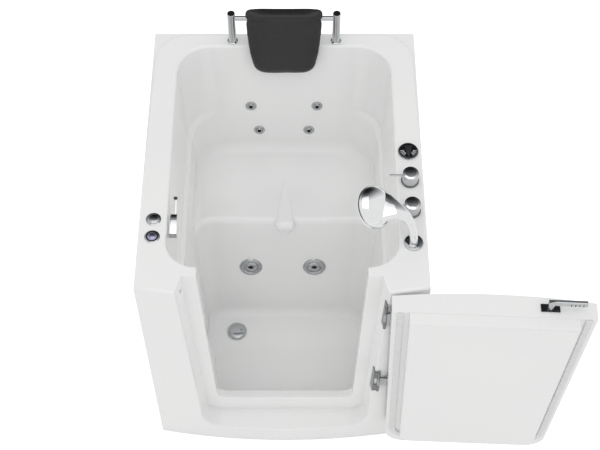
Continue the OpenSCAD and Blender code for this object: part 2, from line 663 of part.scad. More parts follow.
// Drain
drain_flange_r = 34;
drain_flange_t = 3;
drain_stem_r = 4;
drain_cap_r = 29;
drain_cap_t = 6;
drain_cap_edge = 1;
tail_low = 10;
tail_nut_r = 28;
tail_nut_t = 6;
module at_drain() translate([drain_x, drain_y, floor_z]) children();
module drain_flange() color(chrome) at_drain() {
    difference() {
        union() {
            cylinder(h = drain_flange_t, r = drain_flange_r, $fn = 64);
            translate([0, 0, -shell_t]) cylinder(h = shell_t, r = drain_r, $fn = 40);
        }
        translate([0, 0, -shell_t - over])
            cylinder(h = hole_depth, r = drain_r - drain_flange_t, $fn = 40);
    }
    difference() {
        translate([0, 0, -shell_t]) union() {
            cylinder(h = shell_t, r = drain_stem_r * 2, $fn = 32);
            for (i = [0:2]) rotate([0, 0, 120 * i]) translate([0, -drain_flange_t / 2, 0])
                cube([drain_r - drain_flange_t / 2, drain_flange_t, shell_t]);
        }
        translate([0, 0, -shell_t - over]) cylinder(h = hole_depth, r = drain_stem_r + fit, $fn = 32);
    }
}
module drain_tailpiece() color(pipe_white) at_drain() difference() {
    union() {
        translate([0, 0, tail_low - floor_z])
            cylinder(h = floor_z - shell_t - tail_low, r = waste_r, $fn = 64);
        translate([0, 0, -shell_t - tail_nut_t]) cylinder(h = tail_nut_t, r = tail_nut_r, $fn = 8);
    }
    translate([0, 0, tail_low - floor_z - over]) cylinder(h = floor_z, r = waste_r - wall_t, $fn = 64);
}
module drain_cap() color(chrome) at_drain() translate([0, 0, drain_flange_t + gap]) {
    rotate_extrude($fn = 64) polygon(concat([[0, 0], [drain_cap_r, 0]],
        [for (i = [0:6]) let(a = 15 * i) [drain_cap_r * cos(a * 0.95),
            drain_cap_edge + (drain_cap_t - drain_cap_edge) * sin(a)]],
        [[0, drain_cap_t]]));
    translate([0, 0, -drain_flange_t - gap - shell_t]) cylinder(h = drain_flange_t + gap + shell_t,
        r = drain_stem_r, $fn = 32);
}

// Push buttons
bezel_r = 22;
bezel_t = 3.5;
button_out = 4;
button_dome = 3;
cup_r = 22;
cup_drop = 53;
cup_z = tub_h - cup_drop;
module at_button(y) translate([-button_x, y, tub_h]) children();
module button_bezels() color(chrome) for (y = [pump_button_y, light_button_y]) at_button(y)
    rotate_extrude($fn = 48) polygon([[button_r + fit, deck_low - tub_h],
        [button_sleeve_r, deck_low - tub_h], [button_sleeve_r, 0], [bezel_r, 0],
        [bezel_r - bezel_t / 3, bezel_t * 0.7],
        [bezel_r - bezel_t, bezel_t], [button_r + fit, bezel_t]]);
module button_cups() color(dark) for (y = [pump_button_y, light_button_y]) at_button(y) difference() {
    translate([0, 0, cup_z - tub_h]) cylinder(h = deck_low - cup_z, r = cup_r, $fn = 40);
    translate([0, 0, cup_z - tub_h + wall_t]) cylinder(h = hole_depth, r = button_r + gap, $fn = 40);
}
module button(y, dome) at_button(y) rotate_extrude($fn = 48) polygon(concat(
    [[0, deck_low - tub_h - button_out * 2], [button_r, deck_low - tub_h - button_out * 2]],
    [for (i = [0:5]) let(a = 18 * i) [button_r * cos(a), button_out + dome * sin(a)]],
    [[0, button_out + dome]]));
module pump_button() color(chrome) button(pump_button_y, button_dome);
module light_button() color("#8fa2c8") button(light_button_y, button_dome * 0.6);

// Deck valves, air dial and shower socket
valve_r = 22;
valve_drop = 100;
valve_low = tub_h - valve_drop;
spindle_r = 6;
spindle_rise = 23;
spindle_top = tub_h + spindle_rise;
inlet_drop = 135;
inlet_low = tub_h - inlet_drop;
inlet_shift = 10;
flange_r = 26;
flange_h = 5;
lever_r = 2.8;
lever_l = 37;
lever_rise = 28;
lever_z = tub_h + lever_rise;
knob_edge = 1;
mixer_r = 8;
mixer_drop = 60;
mixer_z = tub_h - mixer_drop;
module at_fitting(y) translate([fitting_x, y, 0]) children();
module valve_bodies() color("#b8954a") for (y = [hot_y, cold_y]) at_fitting(y) {
    translate([-inlet_shift, 0, inlet_low])
        cylinder(h = valve_low - inlet_low, r = inlet_r, $fn = 48);
    translate([0, 0, valve_low]) cylinder(h = deck_low - valve_low, r = valve_r, $fn = 48);
    translate([0, 0, deck_low]) cylinder(h = tub_h - deck_low, r = neck_r, $fn = 32);
    translate([0, 0, tub_h]) cylinder(h = spindle_top - tub_h, r = spindle_r, $fn = 32);
}
module valve_flanges() color(chrome) for (y = [hot_y, cold_y]) at_fitting(y)
    translate([0, 0, tub_h]) rotate_extrude($fn = 64) polygon([[spindle_r + gap, 0], [flange_r, 0],
        [flange_r, flange_h * 0.6], [flange_r - flange_h * 0.4, flange_h], [spindle_r + gap, flange_h]]);
module knob(y) color(chrome) at_fitting(y) difference() {
    union() {
        translate([0, 0, tub_h + flange_h + gap]) rotate_extrude($fn = 64) polygon([[0, 0], [knob_r, 0],
            [knob_r, knob_h - knob_edge], [knob_r - knob_edge, knob_h], [0, knob_h]]);
        translate([-knob_r + over, 0, lever_z]) rotate([0, -90, 0])
            cylinder(h = lever_l + over, r = lever_r, $fn = 24);
    }
    translate([0, 0, tub_h]) cylinder(h = spindle_top - tub_h + gap, r = spindle_r + fit, $fn = 32);
}
module hot_knob() knob(hot_y);
module cold_knob() knob(cold_y);
module mixer_pipes() color("#b8954a")
    for (y = [[cold_y + valve_r, hot_y - valve_r], [shower_y + socket_r, cold_y - valve_r]])
        translate([fitting_x, y[1], mixer_z]) rotate([90, 0, 0])
            cylinder(h = y[1] - y[0], r = mixer_r, $fn = 32);
dial_r = 28.5;
dial_base_h = 4;
dial_h = 11;
dial_body_r = 18;
dial_drop = 65;
dial_body_z = tub_h - dial_drop;
pointer_h = 7;
module air_valve() color(chrome) at_fitting(dial_y) {
    translate([0, 0, dial_body_z]) cylinder(h = deck_low - dial_body_z, r = dial_body_r, $fn = 40);
    translate([0, 0, deck_low]) cylinder(h = tub_h - deck_low, r = neck_r, $fn = 32);
    translate([0, 0, tub_h]) cylinder(h = dial_base_h, r = dial_r, $fn = 64);
    translate([0, 0, tub_h + dial_base_h]) cylinder(h = dial_h / 2, r = spindle_r, $fn = 32);
}
module air_dial() color("#202224") at_fitting(dial_y) translate([0, 0, tub_h + dial_base_h + gap]) {
    difference() {
        rotate_extrude($fn = 64) polygon([[0, 0], [dial_r * 0.965, 0], [dial_r * 0.93, dial_h * 0.7],
            [dial_r * 0.825, dial_h], [0, dial_h]]);
        translate([0, 0, -over]) cylinder(h = dial_h / 2 + over, r = spindle_r + fit, $fn = 32);
    }
    translate([0, 0, dial_h]) linear_extrude(pointer_h) polygon([[-dial_r * 0.42, dial_r * 0.5],
        [dial_r * 0.42, dial_r * 0.5], [dial_r * 0.1, -dial_r * 0.85], [-dial_r * 0.1, -dial_r * 0.85]]);
}
socket_r = 14;
socket_ring_r = 28;
socket_ring_h = 6;
socket_drop = 75;
socket_low = tub_h - socket_drop;
stem_r = 11.5;
module shower_socket() color(chrome) translate([fitting_x, shower_y, 0]) difference() {
    union() {
        translate([0, 0, socket_low]) cylinder(h = tub_h - socket_low, r = socket_r, $fn = 40);
        translate([0, 0, tub_h]) rotate_extrude($fn = 64) polygon([[0, 0], [socket_ring_r, 0],
            [socket_ring_r * 0.93, socket_ring_h * 0.6], [socket_r + over, socket_ring_h],
            [0, socket_ring_h]]);
    }
    translate([0, 0, socket_low - over]) cylinder(h = tub_h, r = stem_r + fit, $fn = 40);
}

// Hand shower: a stem in the socket, a neck that swells into a teardrop, and a round head
stem_drop = 30;
stem_low = tub_h - stem_drop;
shower_reach = 140;
// Places on the way from the socket's rim to the head, as shares of the reach
shower_way_shares = [[0, 0, 0], [0.007, 0.014, 0.129], [0.035, 0.085, 0.28], [0.087, 0.17, 0.42],
    [0.171, 0.235, 0.53], [0.27, 0.28, 0.6], [0.385, 0.32, 0.645], [0.53, 0.36, 0.66],
    [0.68, 0.39, 0.645], [0.8, 0.405, 0.61]];
shower_head_share = [0.774, 0.4, 0.607];
function shower_at(q) = [fitting_x, shower_y, tub_h + socket_ring_h]
    + shower_reach * [-q[0], q[1], q[2]];
shower_wide_shares = [1, 1.02, 1.08, 1.2, 1.45, 1.85, 2.5, 3.5, 4.2, 4.2];
shower_thick_shares = [1, 1, 1, 1.02, 1.05, 1.1, 1.15, 1.2, 1.1, 0.6];
head_yaw = 154.4;
head_lean = 137;
head_t = 14;
face_t = 4;
face_r = 50;
module at_head() translate(shower_at(shower_head_share)) rotate([0, head_lean, head_yaw]) children();
module hand_shower() color(chrome) difference() {
    union() {
        translate([fitting_x, shower_y, stem_low])
            cylinder(h = tub_h + socket_ring_h - stem_low, r = stem_r, $fn = 32);
        sweep([for (q = shower_way_shares) shower_at(q)], stem_r * shower_wide_shares,
            stem_r * shower_thick_shares, [0.61, -0.29, 0.73], 16);
        at_head() rotate_extrude($fn = 48) polygon([[0, -head_t], [head_r * 0.55, -head_t * 0.9],
            [head_r * 0.9, -head_t * 0.5], [head_r, 0], [head_r, head_t * 0.6], [0, head_t * 0.6]]);
    }
    at_head() translate([0, 0, head_t * 0.6 - face_t])
        cylinder(h = hole_depth * 2, r = face_r, $fn = 48);
}
module shower_face() color(dark) at_head() translate([0, 0, head_t * 0.6 - face_t]) difference() {
    cylinder(h = face_t, r = face_r - fit, $fn = 48);
    for (r = [face_r * 0.3, face_r * 0.55, face_r * 0.8]) for (i = [0:11]) rotate([0, 0, 30 * i])
        translate([r, 0, face_t / 2]) cylinder(h = face_t, r = face_r * 0.035, $fn = 13);
}

// Grip handle on the left wall
grip_r = 8;
grip_foot_r = 13;
grip_drop = [47, 91];
grip_in = [210, 330];
grip_z = [tub_h - grip_drop[0], tub_h - grip_drop[1]];
grip_y = [grip_in[0] - front_reach, grip_in[1] - front_reach];
grip_out = 34;
module grip_handle() color(chrome) mirror([1, 0, 0]) {
    a = [side_hw(grip_z[0]), grip_y[0], grip_z[0]];
    b = [side_hw(grip_z[1]), grip_y[1], grip_z[1]];
    sweep([a - [2 * gap, 0, 0], a - [grip_out * 0.5, 0, 0], a - [grip_out * 0.85, -grip_r, 0],
        (a * 3 + b) / 4 - [grip_out, 0, 0], (a + b) / 2 - [grip_out, 0, 0],
        (a + b * 3) / 4 - [grip_out, 0, 0], b - [grip_out * 0.85, grip_r, 0],
        b - [grip_out * 0.5, 0, 0], b - [2 * gap, 0, 0]],
        [for (i = [0:8]) grip_r], [for (i = [0:8]) grip_r], [0, 0, 1], 16);
    translate(a - [grip_foot_r * 1.6, grip_foot_r, grip_foot_r * 0.8])
        cube([grip_foot_r * 1.6 - 3 * gap, grip_foot_r * 3.2, grip_foot_r * 1.6]);
}

// Head cushion on its posts
post_r = 12;
post_h = 124;
post_flange_r = 16;
post_flange_t = 4;
post_edge = 3;
rail_r = 7.5;
cushion_rail_rise = 102;
cushion_rail_z = tub_h + cushion_rail_rise;
cushion_drop = 77;
cushion_z0 = tub_h - cushion_drop;
cushion_rise = 131;
cushion_z1 = tub_h + cushion_rise;
cushion_low_in = 35;
cushion_y0 = basin_rear - cushion_low_in;
cushion_mid_in = 22;
cushion_mid_y = basin_rear - cushion_mid_in;
cushion_top_lean = 2;
ear_h = 9;
cushion_cells = 17;
cushion_turns = 32;
channel_gap = 0.6;
module posts() for (s = [-1, 1]) translate([s * post_x, post_y, 0]) {
    translate([0, 0, deck_low]) cylinder(h = tub_h - deck_low, r = post_stub_r, $fn = 32);
    translate([0, 0, tub_h]) rotate_extrude($fn = 48) polygon([[0, 0], [post_flange_r, 0],
        [post_flange_r, post_flange_t / 2], [post_r, post_flange_t], [post_r, post_h - post_edge],
        [post_r - post_edge, post_h], [0, post_h]]);
}
module cushion_posts() color(chrome) posts();
module rail_rod(r) translate([-post_x, post_y, cushion_rail_z]) rotate([0, 90, 0])
    cylinder(h = 2 * post_x, r = r, $fn = 40);
module cushion_rail() color(chrome) difference() {
    rail_rod(rail_r);
    posts();
}
function cushion_y(z) = lookup(z, [[cushion_z0, cushion_y0], [tub_h, cushion_mid_y],
    [cushion_rail_z, post_y], [cushion_z1, post_y + cushion_top_lean]]);
cushion_low_share = 0.15;
cushion_top_share = 0.06;
cushion_wide_share = 0.85;
cushion_low_r = 30;
cushion_top_r = 12;
function cushion_ring(i) = let(
    t = (1 - cos(180 * i / cushion_cells)) / 2,
    z = cushion_z0 + (cushion_z1 - cushion_z0) * t,
    low = sqrt(1 - pow(1 - min(t / cushion_low_share, 1), 2)),
    top = sqrt(1 - pow(1 - min((1 - t) / cushion_top_share, 1), 2)),
    w = (cushion_w_low + (cushion_w - cushion_w_low) * sin(90 * min(t / cushion_wide_share, 1))) / 2
        - cushion_low_r * (1 - low) - cushion_top_r * (1 - top),
    h = cushion_t / 2 * (0.35 + 0.65 * low) * (0.7 + 0.3 * top))
    [for (j = [0:cushion_turns - 1]) let(a = 360 * (j + 0.5) / cushion_turns, c = cos(a), s = sin(a))
        [w * sign(c) * pow(abs(c), 0.5), cushion_y(z) + h * sign(s) * pow(abs(s), 0.65),
        z + ear_h * pow(t, 4) * pow(abs(c), 2)]];
module head_cushion() color("#3a3a3b") difference() {
    skin([for (i = [0:cushion_cells]) cushion_ring(i)], cushion_turns / 2);
    rail_rod(rail_r + channel_gap);
}

// Door, modelled closed and turned to where it stands open
hinge_in = 4;
hinge_out = 21.5;
hinge_x = recess_hw - hinge_in;
hinge_y = -front_reach - hinge_out;
hinge_low_z = 400;
hinge_drop = 123;
hinge_zs = [hinge_low_z, tub_h - hinge_drop];
door_low_gap = 12;
door_z0 = recess_z + door_low_gap;
seal_space = 7;
door_y = -seal_y - seal_space;
door_corner_r = 62;
door_taper_share = 0.0304;
plug_z0 = sill_z + plug_gap;
plug_corner_r = 30;
plug_taper_share = 0.026;
plug_round = 12;
seal_in = 15;
seal_out = 33;
seal_h = seal_space - gap;
module at_rest() translate([hinge_x, hinge_y, 0]) rotate([0, 0, open_angle])
    translate([-hinge_x, -hinge_y, 0]) children();
function slab_half(w, low, r, share, top) = let(low_w = w - (tub_h - low) * share)
    concat(arc_pts(low_w - r, low + r, r, -90, corner_steps), [[w, top]]);
function slab(w, low, r, share, top) = let(half = slab_half(w, low, r, share, top))
    concat(half, flip(half));
function door_edge(z) = door_hw - (tub_h - z) * door_taper_share * (tub_h - door_z0)
    / (tub_h - door_z0 - door_corner_r);
// An outline in X and Z, drawn from one depth forwards to another
module upright(y0, y1) translate([0, y0, 0]) rotate([90, 0, 0]) linear_extrude(y0 - y1) children();
module door_form(o) intersection() {
    upright(door_y + (o > 0 ? over : 0), -front_reach - bow - over)
        polygon(slab(door_hw - o, door_z0 + o, door_corner_r - o, door_taper_share, tub_h - o));
    linear_extrude(tub_h + over) polygon(concat(front_arc(hw, o), [[hw, 0], [-hw, 0]]));
}
module door_skin() color(acrylic) at_rest() difference() {
    door_form(0);
    door_form(door_t);
    translate([spindle_x, spindle_y, tub_h - 2 * door_t])
        cylinder(h = hole_depth, r = spindle_r + fit, $fn = 32);
    bolt_way(fit);
}
module plug_form(o) hull() {
    upright(door_y + (o > 0 ? over : 0), -seal_y + plug_d - plug_round - seal_h)
        polygon(slab(plug_hw - o, plug_z0 + o, plug_corner_r - o, plug_taper_share, tub_h - o));
    for (i = [1:edge_steps]) let(a = 90 * i / edge_steps, e = o + plug_round * (1 - cos(a)))
        upright(-seal_y - seal_h + plug_d - plug_round * (1 - sin(a)) - o, door_y)
            polygon(slab(plug_hw - e, plug_z0 + e, plug_corner_r - min(e, plug_corner_r / 2),
                plug_taper_share, tub_h - e));
}
shelf_h = 8;
module door_pan() color(acrylic) at_rest() {
    difference() {
        union() {
            upright(door_y, door_y - door_t) polygon(slab(door_hw - door_t, door_z0 + door_t,
                door_corner_r - door_t, door_taper_share, tub_h - door_t));
            plug_form(0);
        }
        plug_form(door_t);
        upright(door_y + over, door_y - door_t - over) polygon(slab(plug_hw - 2 * door_t,
            plug_z0 + 2 * door_t, plug_corner_r - door_t, plug_taper_share, tub_h - 2 * door_t));
    }
    translate([bolt_x1 - bolt_a, bolt_y - bolt_a / 2, bolt_z - shelf_h - fit])
        cube([bolt_a, -seal_y - seal_h + plug_d - door_t - bolt_y + bolt_a / 2, shelf_h]);
}
module seal_band(e) polygon(slab(plug_hw + e, plug_z0 - e, plug_corner_r + e, plug_taper_share,
    tub_h - door_t - (e > seal_in ? 0 : -over)));
module door_gasket() color("#d9d9d6") at_rest() difference() {
    upright(-seal_y - gap, door_y) seal_band(seal_out);
    upright(door_y + seal_h + over, door_y - over) seal_band(seal_in);
}

// Hinges
pin_r = 2.5;
leaf_t = 2.4;
leaf_y = -466;
arm_t = 2.4;
knuckle_l = hinge_len / 3;
pin_head_r = 3.6;
module knuckle(z, l, r = knuckle_r) translate([hinge_x, hinge_y, z]) cylinder(h = l, r = r, $fn = 40);
module arm(x, z, l) translate([min(x, hinge_x), hinge_y - arm_t / 2, z])
    cube([abs(hinge_x - x), arm_t, l]);
module jamb_leaf(z0) skin([for (z = [z0, z0 + hinge_len]) [
    [recess_wall(z, leaf_y) - leaf_t - gap, leaf_y, z],
    [recess_wall(z, hinge_y) - leaf_t - gap, hinge_y - arm_t / 2, z],
    [recess_wall(z, hinge_y) - gap, hinge_y - arm_t / 2, z],
    [recess_wall(z, leaf_y) - gap, leaf_y, z]]]);
module door_leaf(z0) skin([for (z = [z0, z0 + hinge_len]) [
    [door_edge(z), leaf_y, z], [door_edge(z), hinge_y - arm_t / 2, z],
    [door_edge(z) + leaf_t, hinge_y - arm_t / 2, z], [door_edge(z) + leaf_t, leaf_y, z]]]);
module pin_way() for (z = hinge_zs) knuckle(z - hinge_len, 2 * hinge_len, pin_r);
module jamb_hinge_leaves() color(chrome) difference() {
    for (zc = hinge_zs) let(z0 = zc - hinge_len / 2) {
        jamb_leaf(z0);
        for (z = [z0, z0 + 2 * knuckle_l + gap]) {
            knuckle(z, knuckle_l - gap);
            arm(recess_wall(z0, hinge_y) - leaf_t / 2, z, knuckle_l - gap);
        }
    }
    pin_way();
    for (z = hinge_zs) knuckle(z - hinge_len / 2 + knuckle_l - gap, knuckle_l + 2 * gap,
        knuckle_r + knuckle_room);
}
module door_hinge_leaves() color(chrome) at_rest() difference() {
    for (zc = hinge_zs) let(z0 = zc - hinge_len / 2 + knuckle_l) {
        door_leaf(zc - hinge_len / 2);
        knuckle(z0, knuckle_l);
        arm(door_edge(z0) + leaf_t / 2, z0, knuckle_l);
    }
    for (z = hinge_zs) knuckle(z - hinge_len, 2 * hinge_len, pin_r + fit);
}
module hinge_pins() color(steel) for (z = hinge_zs) {
    knuckle(z - hinge_len / 2, hinge_len, pin_r);
    knuckle(z + hinge_len / 2, over, pin_head_r);
}

// Latch: a lever on a spindle, whose pinion drives a toothed bolt
spindle_in = 127;
spindle_back = 2;
spindle_x = spindle_in - door_hw;
spindle_y = spindle_back - front_reach;
plate_l = 52;
plate_w = 24;
plate_t = 3;
teeth = 12;
pitch_r = 10.2;
tooth_in = 1.9;
tooth_out = 1.5;
tooth_thick_share = 0.42;
pinion_h = 12;
bolt_a = 12;
bolt_drop = 55;
bolt_z = tub_h - bolt_drop;
rack_back = 0.8;
bolt_y = spindle_y + pitch_r + tooth_out / 2 + bolt_a / 2 + rack_back;
bolt_travel = 16;
bolt_reach = door_edge(bolt_z + bolt_a);
bolt_tail = 30;
bolt_x1 = spindle_x + bolt_tail;
pitch = 2 * PI * pitch_r / teeth;
lever_bar_l = 104;
lever_bar_w = 11;
lever_bar_h = 13;
lever_bar_rise = 23;
lever_bar_z = tub_h + lever_bar_rise;
lever_hub_r = 9;
grip_cells = 5;
groove_r = 1;
module bolt_way(e) translate([-bolt_reach - over * 2, bolt_y - bolt_a / 2 - e, bolt_z - e])
    cube([bolt_reach, bolt_a + 2 * e, bolt_a + 2 * e]);
module latch_plate() color("#54585c") at_rest() difference() {
    translate([spindle_x - plate_l / 2, spindle_y - plate_w / 2, tub_h])
        cube([plate_l, plate_w, plate_t]);
    translate([spindle_x, spindle_y, tub_h - over])
        cylinder(h = hole_depth, r = spindle_r + fit, $fn = 32);
}
tooth_foot_share = 0.317;
tooth_tip_share = 0.113;
module tooth() polygon([for (q = [[-tooth_foot_share, -tooth_in], [-tooth_thick_share / 2, 0],
    [-tooth_tip_share, tooth_out], [tooth_tip_share, tooth_out], [tooth_thick_share / 2, 0],
    [tooth_foot_share, -tooth_in]]) let(a = 360 * q[0] / teeth)
    [(pitch_r + q[1]) * sin(a), (pitch_r + q[1]) * cos(a)]]);
module latch_lever() color(chrome) at_rest() translate([spindle_x, spindle_y, 0]) {
    translate([0, 0, bolt_z]) cylinder(h = tub_h + plate_t + gap - bolt_z, r = spindle_r, $fn = 32);
    translate([0, 0, bolt_z + (bolt_a - pinion_h) / 2]) linear_extrude(pinion_h - gap) {
        circle(r = pitch_r - tooth_in * 0.9, $fn = 48);
        for (i = [0:teeth - 1]) rotate(360 * i / teeth) tooth();
    }
    translate([0, 0, tub_h + plate_t + gap]) cylinder(h = lever_hub_r, r = lever_hub_r, $fn = 32);
    hull() {
        translate([0, 0, tub_h + plate_t + gap])
            cylinder(h = lever_hub_r, r = lever_hub_r * 0.8, $fn = 32);
        translate([-lever_hub_r, -lever_bar_w / 2, lever_bar_z])
            cube([lever_hub_r * 2, lever_bar_w, lever_bar_h]);
    }
    difference() {
        translate([lever_hub_r - lever_bar_l, -lever_bar_w / 2, lever_bar_z])
            cube([lever_bar_l, lever_bar_w, lever_bar_h]);
        for (i = [1:grip_cells - 1], s = [-1, 1])
            translate([lever_hub_r - lever_bar_l + i * lever_bar_w, s * lever_bar_w / 2,
                lever_bar_z - over]) cylinder(h = lever_bar_h * 0.7, r = groove_r, $fn = 16);
    }
}
module latch_bolt() color(steel) at_rest() {
    root_y = bolt_y - bolt_a / 2 + tooth_in;
    root = root_y - spindle_y - pitch_r + gap;
    translate([-bolt_reach, root_y, bolt_z]) cube([bolt_reach + bolt_x1, bolt_a - tooth_in, bolt_a]);
    translate([-bolt_reach, bolt_y - bolt_a / 2, bolt_z])
        cube([bolt_reach + spindle_x - 2 * pitch, tooth_in + gap, bolt_a]);
    for (i = [-2:4]) translate([spindle_x + (i + 0.5) * pitch, spindle_y + pitch_r, bolt_z])
        linear_extrude(bolt_a) polygon(pitch * [[-0.33, root / pitch], [-tooth_thick_share / 2, 0],
            [-0.11, -tooth_out / pitch], [0.11, -tooth_out / pitch], [tooth_thick_share / 2, 0],
            [0.33, root / pitch]]);
}

tub_shell();
side_panel_left();
side_panel_right();
frame_long_rails();
frame_cross_rails();
frame_uprights();
frame_seat_bearers();
levelling_feet();
centre_foot();
lock_nuts();
panel_clips();
pump_tray();
pump_cradle();
pump_motor();
pump_volute();
pump_impeller();
suction_grille();
suction_pipe();
foot_manifold();
back_manifold();
pressure_riser();
control_box();
power_gland();
back_jet_bodies();
back_jet_rings();
back_jet_nozzles();
foot_jet_bodies();
foot_jet_rings();
foot_nozzle_left();
foot_nozzle_right();
drain_flange();
drain_tailpiece();
drain_cap();
button_bezels();
button_cups();
pump_button();
light_button();
valve_bodies();
valve_flanges();
hot_knob();
cold_knob();
mixer_pipes();
air_valve();
air_dial();
shower_socket();
hand_shower();
shower_face();
grip_handle();
cushion_posts();
cushion_rail();
head_cushion();
door_skin();
door_pan();
door_gasket();
jamb_hinge_leaves();
door_hinge_leaves();
hinge_pins();
latch_plate();
latch_lever();
latch_bolt();
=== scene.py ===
"""Walk-in bathtub with its door open: finishes, detailed pieces, light and camera."""
import json
import math
import bpy
import bmesh
from mathutils import Matrix, Vector


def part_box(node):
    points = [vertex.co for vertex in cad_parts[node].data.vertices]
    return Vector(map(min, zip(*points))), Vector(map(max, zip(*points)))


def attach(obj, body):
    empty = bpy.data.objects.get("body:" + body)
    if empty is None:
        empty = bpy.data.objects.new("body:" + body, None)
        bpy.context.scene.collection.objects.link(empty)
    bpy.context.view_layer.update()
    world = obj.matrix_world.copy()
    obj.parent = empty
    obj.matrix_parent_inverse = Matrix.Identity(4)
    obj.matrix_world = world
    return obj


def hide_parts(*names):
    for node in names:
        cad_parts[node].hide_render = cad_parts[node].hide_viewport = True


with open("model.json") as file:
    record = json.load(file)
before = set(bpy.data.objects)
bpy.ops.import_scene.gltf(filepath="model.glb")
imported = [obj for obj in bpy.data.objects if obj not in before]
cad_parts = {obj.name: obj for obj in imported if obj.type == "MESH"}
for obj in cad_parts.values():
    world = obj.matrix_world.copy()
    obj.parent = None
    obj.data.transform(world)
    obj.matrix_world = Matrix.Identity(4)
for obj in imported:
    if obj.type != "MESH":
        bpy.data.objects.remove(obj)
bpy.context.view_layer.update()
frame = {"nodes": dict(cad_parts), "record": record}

MM = 0.001
WELD = 0.002 * MM
RECORD = frame["record"]
BODY_OF = {n: b for b, ns in RECORD["behaviour"]["bodies"].items() for n in ns}
SLOT_OF = {s["node"]: s["material_slot"] for s in RECORD["subparts"]}

# Finishes
TONE_PLACES = (0.32, 0.68)
FINE_TIMES = 6
BUMP_DEPTH = 0.4 * MM


def srgb(text):
    """A hex colour as the linear RGBA that shader sockets take."""
    parts = [int(text[i:i + 2], 16) / 255 for i in (1, 3, 5)]
    return [c / 12.92 if c <= 0.04045 else ((c + 0.055) / 1.055) ** 2.4 for c in parts] + [1.0]


def add(tree, kind, sockets=None, stops=(), **settings):
    """Adds a node, sets its properties, fills or links its sockets and sets its colour stops."""
    n = tree.nodes.new(kind)
    for key, value in settings.items():
        setattr(n, key, value)
    for key, value in (sockets or {}).items():
        if isinstance(value, bpy.types.NodeSocket):
            tree.links.new(value, n.inputs[key])
        else:
            n.inputs[key].default_value = value
    if stops:
        marks = n.color_ramp.elements
        for mark, (place, tone) in zip(marks, (stops[0], stops[-1])):
            mark.position, mark.color = place, srgb(tone)
        for place, tone in stops[1:-1]:
            marks.new(place).color = srgb(tone)
    return n


def material(name, look, tones, blotch, rough, bump=0.0, detail=4.0):
    """A finish whose tone wanders over blotches so many mm wide, its roughness and bump finer."""
    m = bpy.data.materials.new(name)
    m.use_nodes = True
    t = m.node_tree
    t.nodes.clear()
    at = add(t, "ShaderNodeTexCoord").outputs["Object"]
    scale = 1 / (blotch * MM)
    noise = add(t, "ShaderNodeTexNoise", {"Vector": at, "Scale": scale, "Detail": detail})
    tone = add(t, "ShaderNodeValToRGB", {"Fac": noise.outputs["Fac"]},
               list(zip(TONE_PLACES, tones)))
    fine = add(t, "ShaderNodeTexNoise",
               {"Vector": at, "Scale": scale * FINE_TIMES, "Detail": detail})
    span = add(t, "ShaderNodeMapRange",
               {"Value": fine.outputs["Fac"], "To Min": rough[0], "To Max": rough[1]})
    shader = add(t, "ShaderNodeBsdfPrincipled",
                 {"Base Color": tone.outputs["Color"], "Roughness": span.outputs["Result"], **look})
    if bump:
        relief = add(t, "ShaderNodeBump",
                     {"Height": fine.outputs["Fac"], "Strength": bump, "Distance": BUMP_DEPTH})
        t.links.new(relief.outputs["Normal"], shader.inputs["Normal"])
    add(t, "ShaderNodeOutputMaterial", {"Surface": shader.outputs["BSDF"]})
    return m


METAL = {"Metallic": 1.0}
GLOSSY = {"IOR": 1.49, "Coat Weight": 0.25, "Coat Roughness": 0.05}
PLASTIC = {"IOR": 1.46}
FOAM_SKIN = {"IOR": 1.5}
TINTED_METAL = {"Metallic": 0.9, "Coat Weight": 0.4}
